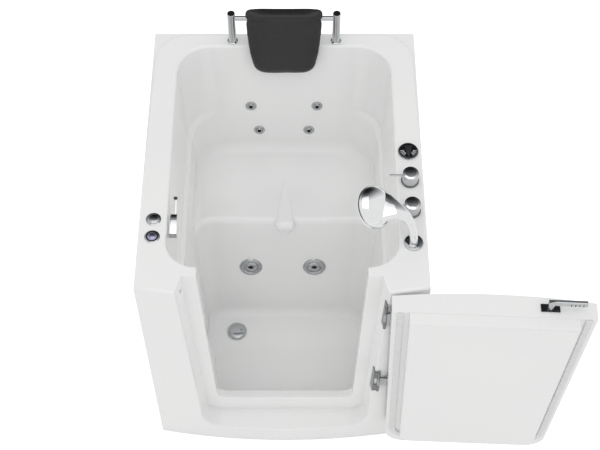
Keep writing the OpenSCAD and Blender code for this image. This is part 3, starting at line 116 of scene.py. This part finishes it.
# Each finish: look, two tones, blotch width in mm, span of roughness, bump and noise detail.
# Real polish, paint and moulding wander more finely; the blotches are drawn coarse enough to show
FINISHES = {
    # Vacuum-formed cast acrylic sheet: an even white with a soft gloss
    "white_acrylic": (GLOSSY, ("#f4f4f4", "#f6f6f5"), 333.3, (0.12, 0.16)),
    # Galvanised steel tube: dull grey with a faint spangle
    "zinc_steel": (METAL, ("#8f959a", "#a9aeb2"), 25, (0.35, 0.5), 0.05),
    # Moulded polypropylene: near black and matt
    "foot_plastic": (PLASTIC, ("#1d1d1f", "#242427"), 16.67, (0.5, 0.62), 0.1),
    # Stoved paint on a cast housing: dark blue-grey with a light orange peel
    "motor_paint": (PLASTIC, ("#2f3439", "#383d43"), 33.33, (0.35, 0.45), 0.15),
    # Moulded glass-filled nylon: near black with a dry sheen
    "pump_plastic": (PLASTIC, ("#202124", "#292a2d"), 20, (0.4, 0.5), 0.1),
    # Moulded unpigmented acetal: warm ivory
    "impeller_plastic": (PLASTIC, ("#cfc8b8", "#dad4c6"), 20, (0.4, 0.5)),
    # Extruded rigid PVC: pale grey-white, half matt
    "pipe_plastic": (PLASTIC, ("#dcdcd8", "#e6e6e3"), 40, (0.3, 0.4)),
    # Textured ABS housing: mid grey and matt
    "box_plastic": (PLASTIC, ("#4d5054", "#565a5e"), 16.67, (0.5, 0.6), 0.2),
    # Chrome plate on polished brass: a clean mirror
    "chrome_trim": (METAL, ("#c6c9cb", "#d0d2d4"), 16.67, (0.04, 0.07)),
    # Moulded tinted polycarbonate: pale blue and glossy
    "light_button_lens": (GLOSSY, ("#8e9ab4", "#a3aec6"), 12.5, (0.12, 0.2)),
    # Hot-forged raw brass: warm yellow, half matt
    "brass_body": (METAL, ("#b08d4c", "#c4a262"), 16.67, (0.25, 0.38), 0.05),
    # High-gloss moulded ABS: deep black with sharp reflections
    "black_dial": (GLOSSY, ("#121314", "#191a1c"), 16.67, (0.1, 0.18)),
    # Moulded silicone: dark grey with a soft sheen
    "shower_face_plastic": (PLASTIC, ("#3c3e40", "#46484a"), 12.5, (0.4, 0.5)),
    # Polyurethane foam with its own moulded skin: black with a fine leather grain
    "cushion_skin": (FOAM_SKIN, ("#1d1d1e", "#222223"), 11.11, (0.34, 0.42), 0.12, 8.0),
    # Extruded silicone rubber: off-white and matt
    "door_seal": (PLASTIC, ("#e0e0e0", "#e6e6e6"), 16.67, (0.45, 0.55), 0.05),
    # Black nickel plate on a zinc casting: dark with a soft mirror
    "dark_plate": (METAL, ("#4c4f52", "#5a5d60"), 16.67, (0.15, 0.22)),
    # Chrome plate with a slightly blurred mirror, its tone lowered to grey as painted shade for
    # chrome in the basin and on shaded faces
    "satin_chrome_painted_shade": (METAL, ("#b0b2b4", "#babcbe"), 16.67, (0.1, 0.16)),
    # Chrome plate with a clean mirror, its tone raised to near white as painted highlight
    "bright_chrome_painted_highlight": (METAL, ("#f6f7f8", "#fafbfb"), 16.67, (0.04, 0.07)),
    # Brushed chrome plate: pale and blurred
    "brushed_chrome": (METAL, ("#c9cccd", "#cfd1d3"), 83.33, (0.26, 0.28)),
    # Chrome plate with a soft mirror, its tone lowered to smoky grey as painted shade
    "dark_chrome_painted_shade": (METAL, ("#7c7e80", "#86888a"), 16.67, (0.1, 0.16)),
    # Matt off-white on the dial's fine ribs: painted glints
    "white_painted_glint": (PLASTIC, ("#d0d0d3", "#dadadc"), 16.67, (0.3, 0.4)),
    # Finely grained black ABS: black that looks dark grey in the light
    "satin_black": (PLASTIC, ("#2b2b2d", "#303032"), 16.67, (0.3, 0.4)),
    # Painted shade: a black plug without a shine that stands for the unlit inside of a moulded bore
    "black_painted_bore_shade": (PLASTIC, ("#060606", "#0a0a0a"), 16.67, (0.6, 0.7)),
    # Polycarbonate lens with a metallised back: violet with a mirror's shine
    "lens_violet": (TINTED_METAL, ("#a9a4c4", "#b5b0cf"), 12.5, (0.06, 0.1)),
}
MATERIALS = {name: material(name, *spec) for name, spec in FINISHES.items()}


def finish_with(obj, finish):
    """Gives an object one finish by its name."""
    obj.data.materials.clear()
    obj.data.materials.append(MATERIALS[finish])


for node, obj in frame["nodes"].items():
    finish_with(obj, SLOT_OF[node])

# Ways to make a piece, whose edges stay sharp over SHARP or CRISP degrees and join under FLAT
SHARP = 38
CRISP = 30
FLAT = 0.5
BEVEL_STEPS = 3
NORMAL_WEIGHT = 80
TURN_STEPS = 48
ROD_STEPS = 32


def own(name, mesh, node, slot=None, finish=None, hides=False):
    """A new object for a finished mesh on a node's body, in the node's place if it hides it."""
    slot = slot or SLOT_OF[node]
    obj = bpy.data.objects.new(name, mesh)
    bpy.context.scene.collection.objects.link(obj)
    finish_with(obj, finish or slot)
    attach(obj, BODY_OF[node])
    if hides:
        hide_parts(node)
    return obj


def cleaned(node, flat=FLAT):
    """A node's mesh with split points welded and flat facets joined."""
    bm = bmesh.new()
    bm.from_mesh(frame["nodes"][node].data)
    bmesh.ops.remove_doubles(bm, verts=bm.verts, dist=WELD)
    if flat:
        bmesh.ops.dissolve_limit(bm, angle_limit=math.radians(flat), verts=bm.verts,
                                 edges=bm.edges)
    return bm


def smoothed(bm, name, sharp=SHARP):
    """A mesh shaded smooth, with edges over the angle kept sharp."""
    for f in bm.faces:
        f.smooth = True
    for e in bm.edges:
        if len(e.link_faces) == 2:
            e.smooth = e.calc_face_angle(0.0) < math.radians(sharp)
    mesh = bpy.data.meshes.new(name)
    bm.to_mesh(mesh)
    bm.free()
    return mesh


def stand_in(node, bm, sharp=CRISP, finish=None):
    """The object that takes a node's place."""
    name = node + "_piece"
    return own(name, smoothed(bm, name, sharp), node, finish=finish, hides=True)


def refined(node, edge, sharp, finish):
    """A node's own shape with smooth shading and, if edge is set, edges rounded by so many mm."""
    obj = stand_in(node, cleaned(node), sharp, finish)
    if edge:
        b = obj.modifiers.new("round", "BEVEL")
        b.width = edge * MM
        b.segments = BEVEL_STEPS
        b.limit_method = "ANGLE"
        b.angle_limit = math.radians(sharp)
        b.harden_normals = True
    w = obj.modifiers.new("normals", "WEIGHTED_NORMAL")
    w.keep_sharp = True
    w.weight = NORMAL_WEIGHT


def islands(node):
    """The middles of a node's separate solids, in metres, from left to right."""
    bm = cleaned(node, 0)
    left, middles = set(bm.verts), []
    while left:
        reached, edge = set(), [left.pop()]
        while edge:
            v = edge.pop()
            reached.add(v)
            near = {e.other_vert(v) for e in v.link_edges} & left
            left -= near
            edge += near
        corners = [[f(v.co[i] for v in reached) for i in range(3)] for f in (min, max)]
        middles.append((Vector(corners[0]) + Vector(corners[1])) / 2)
    bm.free()
    return sorted(middles, key=lambda m: m.x)


def turned(bm, place, profile, steps=TURN_STEPS):
    """Spins a profile of (radius, height) points in mm about the z axis of a place."""
    verts = [bm.verts.new(place @ Vector((r * MM, 0, z * MM))) for r, z in profile]
    edges = [bm.edges.new(pair) for pair in zip(verts, verts[1:])]
    bmesh.ops.spin(bm, geom=verts + edges, cent=place.translation, steps=steps, use_merge=True,
                   axis=place.to_3x3() @ Vector((0, 0, 1)), angle=2 * math.pi)
    bmesh.ops.remove_doubles(bm, verts=bm.verts, dist=WELD)
    bmesh.ops.recalc_face_normals(bm, faces=bm.faces)


def turned_piece(name, places, profile, node, slot=None, finish=None, sharp=CRISP, hides=True):
    """One object of the same turned shape at each place, on a node's body or in its place."""
    bm = bmesh.new()
    for place in places:
        turned(bm, place, profile)
    return own(name, smoothed(bm, name, sharp), node, slot, finish, hides)


def crown(r, low, high, steps=6):
    """Profile points of a shallow dome of radius r between two heights."""
    return [(r * math.cos(a), low + (high - low) * math.sin(a))
            for a in (math.pi / 2 * i / steps for i in range(steps + 1))]


def block(bm, middle, size, turn=Matrix.Identity(4)):
    """A box in mm about a middle, turned about it; gives its corners."""
    place = Matrix.Translation(Vector(middle) * MM) @ turn
    corners = bmesh.ops.create_cube(bm, size=1)["verts"]
    bmesh.ops.scale(bm, vec=[c * MM for c in size], verts=corners)
    bmesh.ops.transform(bm, matrix=place, verts=corners)
    return corners


def rod(bm, r, length, middle, turn=Matrix.Identity(4)):
    """A round bar in mm along z about a middle, turned about it."""
    place = Matrix.Translation(Vector(middle) * MM) @ turn
    bmesh.ops.create_cone(bm, cap_ends=True, segments=ROD_STEPS, radius1=r * MM,
                          radius2=r * MM, depth=length * MM, matrix=place)


def bevelled(bm, edges, offset, steps):
    """Rounds edges; the offset is in the mesh's own units."""
    bmesh.ops.bevel(bm, geom=edges, offset=offset, segments=steps, profile=0.5, affect="EDGES",
                    material=-1)


def facing(middle, lean):
    """A place on a wall that leans back by that many degrees, with z out of the wall."""
    return Matrix.Translation(middle) @ Matrix.Rotation(math.radians(90 - lean), 4, "X")


def joint(name):
    """A joint's place and direction."""
    spec = next(j for j in RECORD["behaviour"]["joints"] if j["name"] == name)
    return Vector(spec["pos_m"]), Vector(spec["axis"])


def on_axis(name, middle):
    """The middle moved square onto a joint's axis."""
    start, axis = joint(name)
    return start + axis * (middle - start).dot(axis)


# Pieces that keep the node's shape: the node, its rounded edge in mm, the angle that stays sharp
# and the finish, where it isn't the slot's own
KEPT_SHAPES = (
    ("tub_shell", 0, 44, None),
    ("door_skin", 3, SHARP, None),
    ("door_pan", 0, 40, None),
    ("door_gasket", 1.5, SHARP, None),
    ("side_panel_left", 1.5, SHARP, None),
    ("side_panel_right", 1.5, SHARP, None),
    ("latch_plate", 1.2, SHARP, None),
    # Hinge leaves, valve flanges, hand shower and drain take chrome toned down or up: painted shade
    # and painted highlight.
    ("jamb_hinge_leaves", 0.3, SHARP, "dark_chrome_painted_shade"),
    ("door_hinge_leaves", 0.3, SHARP, "satin_chrome_painted_shade"),
    ("hot_knob", 0.6, SHARP, "brushed_chrome"),
    ("cold_knob", 0.6, SHARP, "brushed_chrome"),
    ("hand_shower", 0, 50, "bright_chrome_painted_highlight"),
    ("valve_flanges", 0, CRISP, "dark_chrome_painted_shade"),
    ("cushion_rail", 0, CRISP, None),
    ("shower_socket", 0, CRISP, None),
    ("hinge_pins", 0, CRISP, None),
    ("shower_face", 0, CRISP, None),
    ("drain_flange", 0, CRISP, "satin_chrome_painted_shade"),
    ("drain_cap", 0, CRISP, "satin_chrome_painted_shade"),
)
for kept in KEPT_SHAPES:
    refined(*kept)

# Jets, with leans in degrees and profiles of radius and height in mm
BACK_LEAN = 10.6
BACK_RING = [(10, -2), (18, -2), (18, -0.6), (17, 0.6), (14.6, 1.6), (12, 1.4), (10.4, 0.4)]
BACK_CUP = [(10.4, 0.4), (9.8, 2.2), (8.2, 3.8), (6.4, 4.2), (6, 1)]
# The bores are black plugs capped inside the cups: painted shade.
BACK_BORE_SHADE = [(6.2, -8), (6.2, 2.6), (0, 2.6)]
FOOT_LEAN = 11.6
FOOT_RING = [(23.2, -3), (38, -3), (38, -1), (36, 1.6), (32, 3), (27, 2.4), (23.2, 0)]
FOOT_NOZZLE = [(23, -8), (23, -1), (20, 1.2), (14, 2.4), (9, 2), (7.4, 0)]
FOOT_BORE_SHADE = [(7.6, -8), (7.6, 0.6), (0, 0.6)]


def back_jets():
    """Four small jets in the backrest, each a ring and a raised cup in chrome toned down as painted
    shade, and a black plug painted as the bore's shade.
    """
    places = [facing(m, BACK_LEAN) for m in islands("back_jet_rings")]
    turned_piece("back_jet_rings_piece", places, BACK_RING, "back_jet_rings",
                 finish="satin_chrome_painted_shade")
    turned_piece("back_jet_cups_piece", places, BACK_CUP, "back_jet_nozzles",
                 finish="satin_chrome_painted_shade")
    turned_piece("back_jet_bore_shades_piece", places, BACK_BORE_SHADE, "back_jet_nozzles",
                 finish="black_painted_bore_shade")


def foot_jets():
    """Two large jets in the footwell, each a ring and a dished nozzle that turns, in chrome toned
    down as painted shade, and a black plug painted as its bore's shade.
    """
    sides = ("left", "right")
    places = [facing(on_axis(f"foot_nozzle_{side}_turn", m), FOOT_LEAN)
              for side, m in zip(sides, islands("foot_jet_rings"))]
    turned_piece("foot_jet_rings_piece", places, FOOT_RING, "foot_jet_rings",
                 finish="satin_chrome_painted_shade")
    for side, place in zip(sides, places):
        node = "foot_nozzle_" + side
        turned_piece(node + "_piece", [place], FOOT_NOZZLE, node, finish="satin_chrome_painted_shade")
        turned_piece(node + "_bore", [place], FOOT_BORE_SHADE, node, finish="black_painted_bore_shade")


back_jets()
foot_jets()

# Buttons and dial, in mm over the deck and degrees round the dial
BEZEL_HEIGHT = 3.5
SLEEVE_LOW = -18
BUTTON_LOW = -26
BUTTON_R = 17
PUMP_DOME = (2.4, 7)
LENS_R = 13.8
LENS_LOW = -1
LENS_DOME = (1.5, 8)
BEZEL = [(17.3, SLEEVE_LOW), (19, SLEEVE_LOW), (19, -0.2), (22, -0.2), (21.9, 0.4), (17.6, 2.4),
         (17.3, 2), (17.3, SLEEVE_LOW)]
BUTTON_BODY = [(0, BUTTON_LOW), (BUTTON_R, BUTTON_LOW)]
LENS_RIM = [(BUTTON_R, 2.2), (16.4, 2.9), (14.6, 2.9), (14, -1)]
DIAL_BASE = [(28.6, 0), (30.6, 0), (30.4, 2.4), (29.4, 3.6), (28.6, 3.8)]
DIAL_DISC = [(7, 4.4), (28, 4.4), (28.3, 6), (27.6, 8), (25.4, 9.6), (0, 10)]
POINTER_SIZE = (23, 38, 5)
POINTER_Y = -5
POINTER_Z = 12
POINTER_EDGE = 0.9
TIP_SHARE = 0.2
RIB_SIZE = (1.7, 11, 1)
RIB_REACH = 19
RIB_Z = 10.2
RIB_ANGLES = [36 + 15 * step for step in range(4)]


def on_deck(node):
    """The middle of a node on the deck's top, as a place with z up."""
    low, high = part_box(node)
    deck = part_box("button_bezels")[1].z - BEZEL_HEIGHT * MM
    return Matrix.Translation(((low.x + high.x) / 2, (low.y + high.y) / 2, deck))


def buttons():
    """Each button's sloping bezel, the pump button's dome and the light button's lens."""
    places = [on_deck(n) for n in ("pump_button", "light_button")]
    turned_piece("button_bezels_piece", places, BEZEL, "button_bezels")
    turned_piece("pump_button_piece", places[:1], BUTTON_BODY + crown(BUTTON_R, *PUMP_DOME),
                 "pump_button")
    turned_piece("light_button_piece", places[1:], BUTTON_BODY + LENS_RIM, "light_button",
                 slot="chrome_trim", finish="satin_black")
    turned_piece("light_button_lens", places[1:],
                 [(LENS_R, LENS_LOW)] + crown(LENS_R, *LENS_DOME), "light_button",
                 finish="lens_violet")


def dial():
    """Flat glossy disc on a bright base ring, with a wedge pointer and a fan of fine ribs painted
    white as glints.
    """
    at = on_deck("air_valve")
    turned_piece("air_valve_ring", [at], DIAL_BASE, "air_valve", hides=False)
    turned_piece("air_dial_piece", [at], DIAL_DISC, "air_dial")
    x, y, z = (c / MM for c in at.translation)
    bm = bmesh.new()
    wedge = block(bm, (x, y + POINTER_Y, z + POINTER_Z), POINTER_SIZE)
    for v in wedge:
        if v.co.y < (y + POINTER_Y) * MM:
            v.co.x = x * MM + (v.co.x - x * MM) * TIP_SHARE
    bevelled(bm, bm.edges[:], POINTER_EDGE * MM, 2)
    own("air_dial_pointer", smoothed(bm, "air_dial_pointer"), "air_dial", finish="satin_black")
    bm = bmesh.new()
    for side in (-1, 1):
        for angle in RIB_ANGLES:
            a = side * math.radians(angle)
            block(bm, (x + RIB_REACH * math.sin(a), y - RIB_REACH * math.cos(a), z + RIB_Z),
                  RIB_SIZE, Matrix.Rotation(a, 4, "Z"))
    # The ribs' off-white is painted glints.
    own("air_dial_ribs", smoothed(bm, "air_dial_ribs"), "air_dial", "chrome_trim", "white_painted_glint")


buttons()
dial()

# Knob caps, cushion posts and grip handle, in mm and degrees
KNOB_CAP = [(22.4, -1), (22.4, 0.2), (16.5, 2.2), (12, 2.9), (6, 3.4), (0, 3.6)]
CAP_SHARP = 8
TOP_BAND = 0.1
POST_R = 12
POST_FLARE = 2.4
GRIP_PLACE = (-312.5, -236, 880)
GRIP_RISE = 15
GRIP_BLOCK = (22, 60, 20)
CHAMFER_SHARE = 0.25
GRIP_BEND = 57
GRIP_EDGE = 0.8
BAR_R = 4.5
BAR_LENGTH = 52
BAR_PLACE = (6, 50, 0)
END_POST_R = 6
END_POST_LENGTH = 18
END_POST_PLACE = (5, 76, 18)
END_PLATE = (22, 1, 20)
END_PLATE_PLACE = (0, -30.4, -8.2)


def knob_caps():
    """A crowned cap with a chamfered rim on each knob, in chrome toned up as painted highlight."""
    for node in ("hot_knob", "cold_knob"):
        x, y = joint(node + "_turn")[0].xy
        turned_piece(node + "_cap", [Matrix.Translation((x, y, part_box(node)[1].z))], KNOB_CAP,
                     node, finish="bright_chrome_painted_highlight", sharp=CAP_SHARP, hides=False)


def posts():
    """The cushion's posts with flat tops as wide as the post."""
    node = "cushion_posts"
    bm = cleaned(node)
    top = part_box(node)[1].z
    for middle in islands(node):
        for v in bm.verts:
            out = (v.co - middle) * Vector((1, 1, 0))
            if v.co.z > top - TOP_BAND * MM and out.length < POST_R * MM:
                v.co += out.normalized() * POST_FLARE * MM
    stand_in(node, bm)


def grip():
    """A block with a slim bar that rises to the rear along the wall, in chrome toned up as painted
    highlight, and a thin plate in chrome toned down to grey as the end's painted shade.
    """
    node = "grip_handle"
    middle = Vector(GRIP_PLACE) * MM
    bm = bmesh.new()
    bmesh.ops.create_cube(bm, size=1)
    rear_top = [e for e in bm.edges if all(v.co.y > 0 and v.co.z > 0 for v in e.verts)]
    bevelled(bm, rear_top, CHAMFER_SHARE, 1)
    bmesh.ops.scale(bm, vec=[c * MM for c in GRIP_BLOCK], verts=bm.verts)
    bends = [e for e in bm.edges if e.calc_face_angle(0) > math.radians(GRIP_BEND)]
    bevelled(bm, bends, GRIP_EDGE * MM, 2)
    rod(bm, BAR_R, BAR_LENGTH, BAR_PLACE, Matrix.Rotation(math.pi / 2, 4, "X"))
    for v in bm.verts:
        v.co.z += math.tan(math.radians(GRIP_RISE)) * v.co.y
    rod(bm, END_POST_R, END_POST_LENGTH, END_POST_PLACE)
    bmesh.ops.translate(bm, vec=middle, verts=bm.verts)
    stand_in(node, bm, finish="bright_chrome_painted_highlight")
    # The thin plate over the block's front end is painted shade on that end face.
    bm = bmesh.new()
    block(bm, Vector(GRIP_PLACE) + Vector(END_PLATE_PLACE), END_PLATE)
    own(node + "_end", smoothed(bm, node + "_end"), node, finish="satin_chrome_painted_shade")


knob_caps()
posts()
grip()

# Hand shower's head and latch lever, in mm and shares of the lever's front edge
SPRAY = Vector((-0.61, 0.29, -0.73)).normalized()
HEAD_PLACE = (257.6, -262, 1010)
BELL = [(60.2, 0), (59.6, -2), (58, -5.5), (55, -9.5), (50, -14.5), (45, -18), (39, -21),
        (32, -23.6), (22, -25.8), (11, -26.8), (0, -27)]
BELL_SHARP = 60
SEAMS = ((1, 60), (5, 59.6))
SEAM_HALF = 1
SEAM_DEPTH = 2
SEAM_SWELL = 0.7
SEAM_STEPS = 96
LONG_EDGE = 60
LEVER_ROUND = 5.5
LEVER_ROUND_STEPS = 6
GROOVE_SIZE = (2.6, 1.2, 8)
GROOVE_DROP = 9
GROOVE_SHARES = [0.5 + 0.125 * step for step in range(4)]


def shower_head():
    """The bell-shaped back of the hand shower's head in chrome toned up as painted highlight, with
    two fine seam rings in chrome toned down as painted shade.
    """
    node = "hand_shower"
    place = (Matrix.Translation(Vector(HEAD_PLACE) * MM)
             @ SPRAY.to_track_quat("Z", "Y").to_matrix().to_4x4())
    turned_piece(node + "_bell", [place], BELL, node, finish="bright_chrome_painted_highlight", sharp=BELL_SHARP,
                 hides=False)
    for height, r in SEAMS:
        low, high = height - SEAM_HALF, height + SEAM_HALF
        bm = bmesh.new()
        turned(bm, place, [(r - SEAM_DEPTH, low), (r, low), (r + SEAM_SWELL, height), (r, high),
                           (r - SEAM_DEPTH, high)], SEAM_STEPS)
        own(f"{node}_rim_{height}", smoothed(bm, node + "_rim"), node, "chrome_trim",
            "dark_chrome_painted_shade")


def lever():
    """The latch lever, its bar rounded along the front and grooved at the finger end."""
    node = "latch_lever"
    bm = cleaned(node)
    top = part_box(node)[1].z
    long = [e for e in bm.edges if e.calc_length() > LONG_EDGE * MM
            and all(v.co.z > top - TOP_BAND * MM for v in e.verts)]
    front = min(long, key=lambda e: e.verts[0].co.y + e.verts[1].co.y)
    ends = sorted((v.co.copy() for v in front.verts), key=lambda c: c.x)
    bevelled(bm, [front], LEVER_ROUND * MM, LEVER_ROUND_STEPS)
    stand_in(node, bm)
    bm = bmesh.new()
    way = ends[1] - ends[0]
    turn = Matrix.Rotation(math.atan2(way.y, way.x), 4, "Z")
    drop = Vector((0, 0, GROOVE_DROP * MM))
    for share in GROOVE_SHARES:
        block(bm, (ends[0] + way * share - drop) / MM, GROOVE_SIZE, turn)
    own(node + "_grooves", smoothed(bm, node + "_grooves"), node, "dark_plate")


shower_head()
lever()

# Head cushion
SKIN_CELL = 4.5 * MM
SKIN_START = (1.02, 0.97, 1.04)
FRONT_DEPTH = 40 * MM
TOP_DEPTH = 60 * MM
MIDDLE_DROP = 6 * MM
END_DROP = 14 * MM
SWELL_PRESSURE = 4
SWELL_LIMIT = 3 * MM
SWELL_FRAMES = 20
TINY = 1e-9
ALL_SMOOTH = 180
EASE_SHARE = 0.5
EASE_PASSES = 6


def evaluated(obj):
    """The object's mesh after its modifiers, as a new mesh."""
    shown = obj.evaluated_get(bpy.context.evaluated_depsgraph_get())
    return bpy.data.meshes.new_from_object(shown)


def swelled(mesh):
    """The mesh as an even skin that cloth pressure has filled, moved by the limit at most."""
    scene = bpy.context.scene
    obj = bpy.data.objects.new("skin", mesh)
    scene.collection.objects.link(obj)
    grid = obj.modifiers.new("grid", "REMESH")
    grid.mode = "VOXEL"
    grid.voxel_size = SKIN_CELL
    obj.data = evaluated(obj)
    obj.modifiers.remove(grid)
    start = [v.co.copy() for v in obj.data.vertices]
    cloth = obj.modifiers.new("swell", "CLOTH")
    cloth.settings.use_pressure = True
    cloth.settings.uniform_pressure_force = SWELL_PRESSURE
    cloth.settings.effector_weights.gravity = 0
    cloth.point_cache.frame_end = SWELL_FRAMES
    for f in range(1, SWELL_FRAMES + 1):
        scene.frame_set(f)
    obj.data = evaluated(obj)
    obj.modifiers.remove(cloth)
    for v, p in zip(obj.data.vertices, start):
        way = v.co - p
        v.co = p + way * min(1, SWELL_LIMIT / max(way.length, TINY))
    scene.frame_set(1)
    skin = obj.data
    bpy.data.objects.remove(obj)
    return skin


def cushion():
    """The moulded cushion, its front top lowered most at the ends, swelled a little by cloth."""
    node = "head_cushion"
    bm = cleaned(node, 0)
    low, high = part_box(node)
    middle = (low + high) / 2
    half = (high.x - low.x) / 2
    for v in bm.verts:
        front = min(1, max(0, (high.y - v.co.y) / FRONT_DEPTH))
        near_top = min(1, max(0, (v.co.z - high.z) / TOP_DEPTH + 1))
        v.co.z -= front * near_top ** 2 * (MIDDLE_DROP + END_DROP * (v.co.x / half) ** 2)
    bmesh.ops.scale(bm, vec=SKIN_START, verts=bm.verts, space=Matrix.Translation(-middle))
    mesh = swelled(smoothed(bm, node + "_form", ALL_SMOOTH))
    for f in mesh.polygons:
        f.use_smooth = True
    obj = own(node + "_piece", mesh, node, hides=True)
    ease = obj.modifiers.new("ease", "SMOOTH")
    ease.factor = EASE_SHARE
    ease.iterations = EASE_PASSES
    fine = obj.modifiers.new("fine", "SUBSURF")
    fine.levels = fine.render_levels = 1


cushion()

# Floor, light and camera, in metres, watts and degrees, with the lens and sensor in mm
FLOOR_HALF = 9
FLOOR_SCALE = 2.0
FLOOR_TONES = [(0.3, "#fbfbfb"), (0.7, "#ffffff")]
FLOOR_GLOW = 0.5
SKY_TONES = [(0.0, "#ffffff"), (0.5, "#fdfdfd"), (1.0, "#f0f0f0")]
SKY_STRENGTH = 0.885
DARK_WALL = (0.0, 0.862, 0.507)
WALL_TONES = [(0.5, "#f4f4f4"), (0.75, "#9a9c9e"), (0.9, "#4c4d4f"), (0.96, "#2a2b2c"),
              (1.0, "#161718")]
LAMP_PLACE = (0, -0.5, 4.2)
LAMP_AIM = (0, -0.1, 0.4)
LAMP_SIDE = 3.0
LAMP_POWER = 14
CAMERA_PLACE = (0.04898, -2.24825, 3.87459)
CAMERA_TILT = 33.92
CAMERA_LENS = 75.98
CAMERA_SENSOR = 36
CAMERA_REACH = 60


def stage():
    """A plain pale floor that glows a little to the camera alone and keeps the tub's shadow."""
    bm = bmesh.new()
    bmesh.ops.create_grid(bm, x_segments=4, y_segments=4, size=FLOOR_HALF)
    mesh = bpy.data.meshes.new("floor")
    bm.to_mesh(mesh)
    bm.free()
    floor = bpy.data.objects.new("floor", mesh)
    bpy.context.scene.collection.objects.link(floor)
    m = bpy.data.materials.new("floor")
    m.use_nodes = True
    t = m.node_tree
    t.nodes.clear()
    noise = add(t, "ShaderNodeTexNoise", {"Scale": FLOOR_SCALE})
    tone = add(t, "ShaderNodeValToRGB", {"Fac": noise.outputs["Fac"]}, FLOOR_TONES)
    matt = add(t, "ShaderNodeBsdfDiffuse", {"Color": tone.outputs["Color"]})
    path = add(t, "ShaderNodeLightPath")
    power = add(t, "ShaderNodeMapRange",
                {"Value": path.outputs["Is Camera Ray"], "To Min": 0.0, "To Max": FLOOR_GLOW})
    glow = add(t, "ShaderNodeEmission",
               {"Color": srgb("#ffffff"), "Strength": power.outputs["Result"]})
    both = add(t, "ShaderNodeAddShader", {0: matt.outputs[0], 1: glow.outputs[0]})
    add(t, "ShaderNodeOutputMaterial", {"Surface": both.outputs[0]})
    floor.data.materials.append(m)


def sky():
    """Even white studio light; polished metal also sees the dark wall behind the tub."""
    world = bpy.data.worlds.new("studio")
    bpy.context.scene.world = world
    world.use_nodes = True
    t = world.node_tree
    t.nodes.clear()
    way = add(t, "ShaderNodeTexCoord").outputs["Generated"]
    split = add(t, "ShaderNodeSeparateXYZ", {"Vector": way})
    tone = add(t, "ShaderNodeValToRGB", {"Fac": split.outputs["Z"]}, SKY_TONES)
    toward = add(t, "ShaderNodeVectorMath", {0: way, 1: DARK_WALL}, operation="DOT_PRODUCT")
    shade = add(t, "ShaderNodeValToRGB", {"Fac": toward.outputs["Value"]}, WALL_TONES)
    path = add(t, "ShaderNodeLightPath")
    seen = add(t, "ShaderNodeMix",
               {"Factor": path.outputs["Is Glossy Ray"], 6: tone.outputs["Color"],
                7: shade.outputs["Color"]}, data_type="RGBA")
    back = add(t, "ShaderNodeBackground", {"Color": seen.outputs[2], "Strength": SKY_STRENGTH})
    add(t, "ShaderNodeOutputWorld", {"Surface": back.outputs[0]})


def overhead_lamp():
    """One large soft lamp above the tub."""
    data = bpy.data.lights.new("overhead", "AREA")
    data.shape = "RECTANGLE"
    data.size = data.size_y = LAMP_SIDE
    data.energy = LAMP_POWER
    obj = bpy.data.objects.new("overhead", data)
    bpy.context.scene.collection.objects.link(obj)
    way = Vector(LAMP_AIM) - Vector(LAMP_PLACE)
    turn = way.to_track_quat("-Z", "Y").to_matrix().to_4x4()
    obj.matrix_world = Matrix.Translation(LAMP_PLACE) @ turn


def camera():
    """The photograph's view from high in front."""
    data = bpy.data.cameras.new("photo_view")
    data.lens = CAMERA_LENS
    data.sensor_width = CAMERA_SENSOR
    data.clip_end = CAMERA_REACH
    obj = bpy.data.objects.new("photo_view", data)
    obj.location = CAMERA_PLACE
    obj.rotation_euler = (math.radians(CAMERA_TILT), 0, 0)
    bpy.context.scene.collection.objects.link(obj)
    bpy.context.scene.camera = obj


stage()
sky()
overhead_lamp()
camera()
bpy.context.scene.view_settings.view_transform = "Standard"
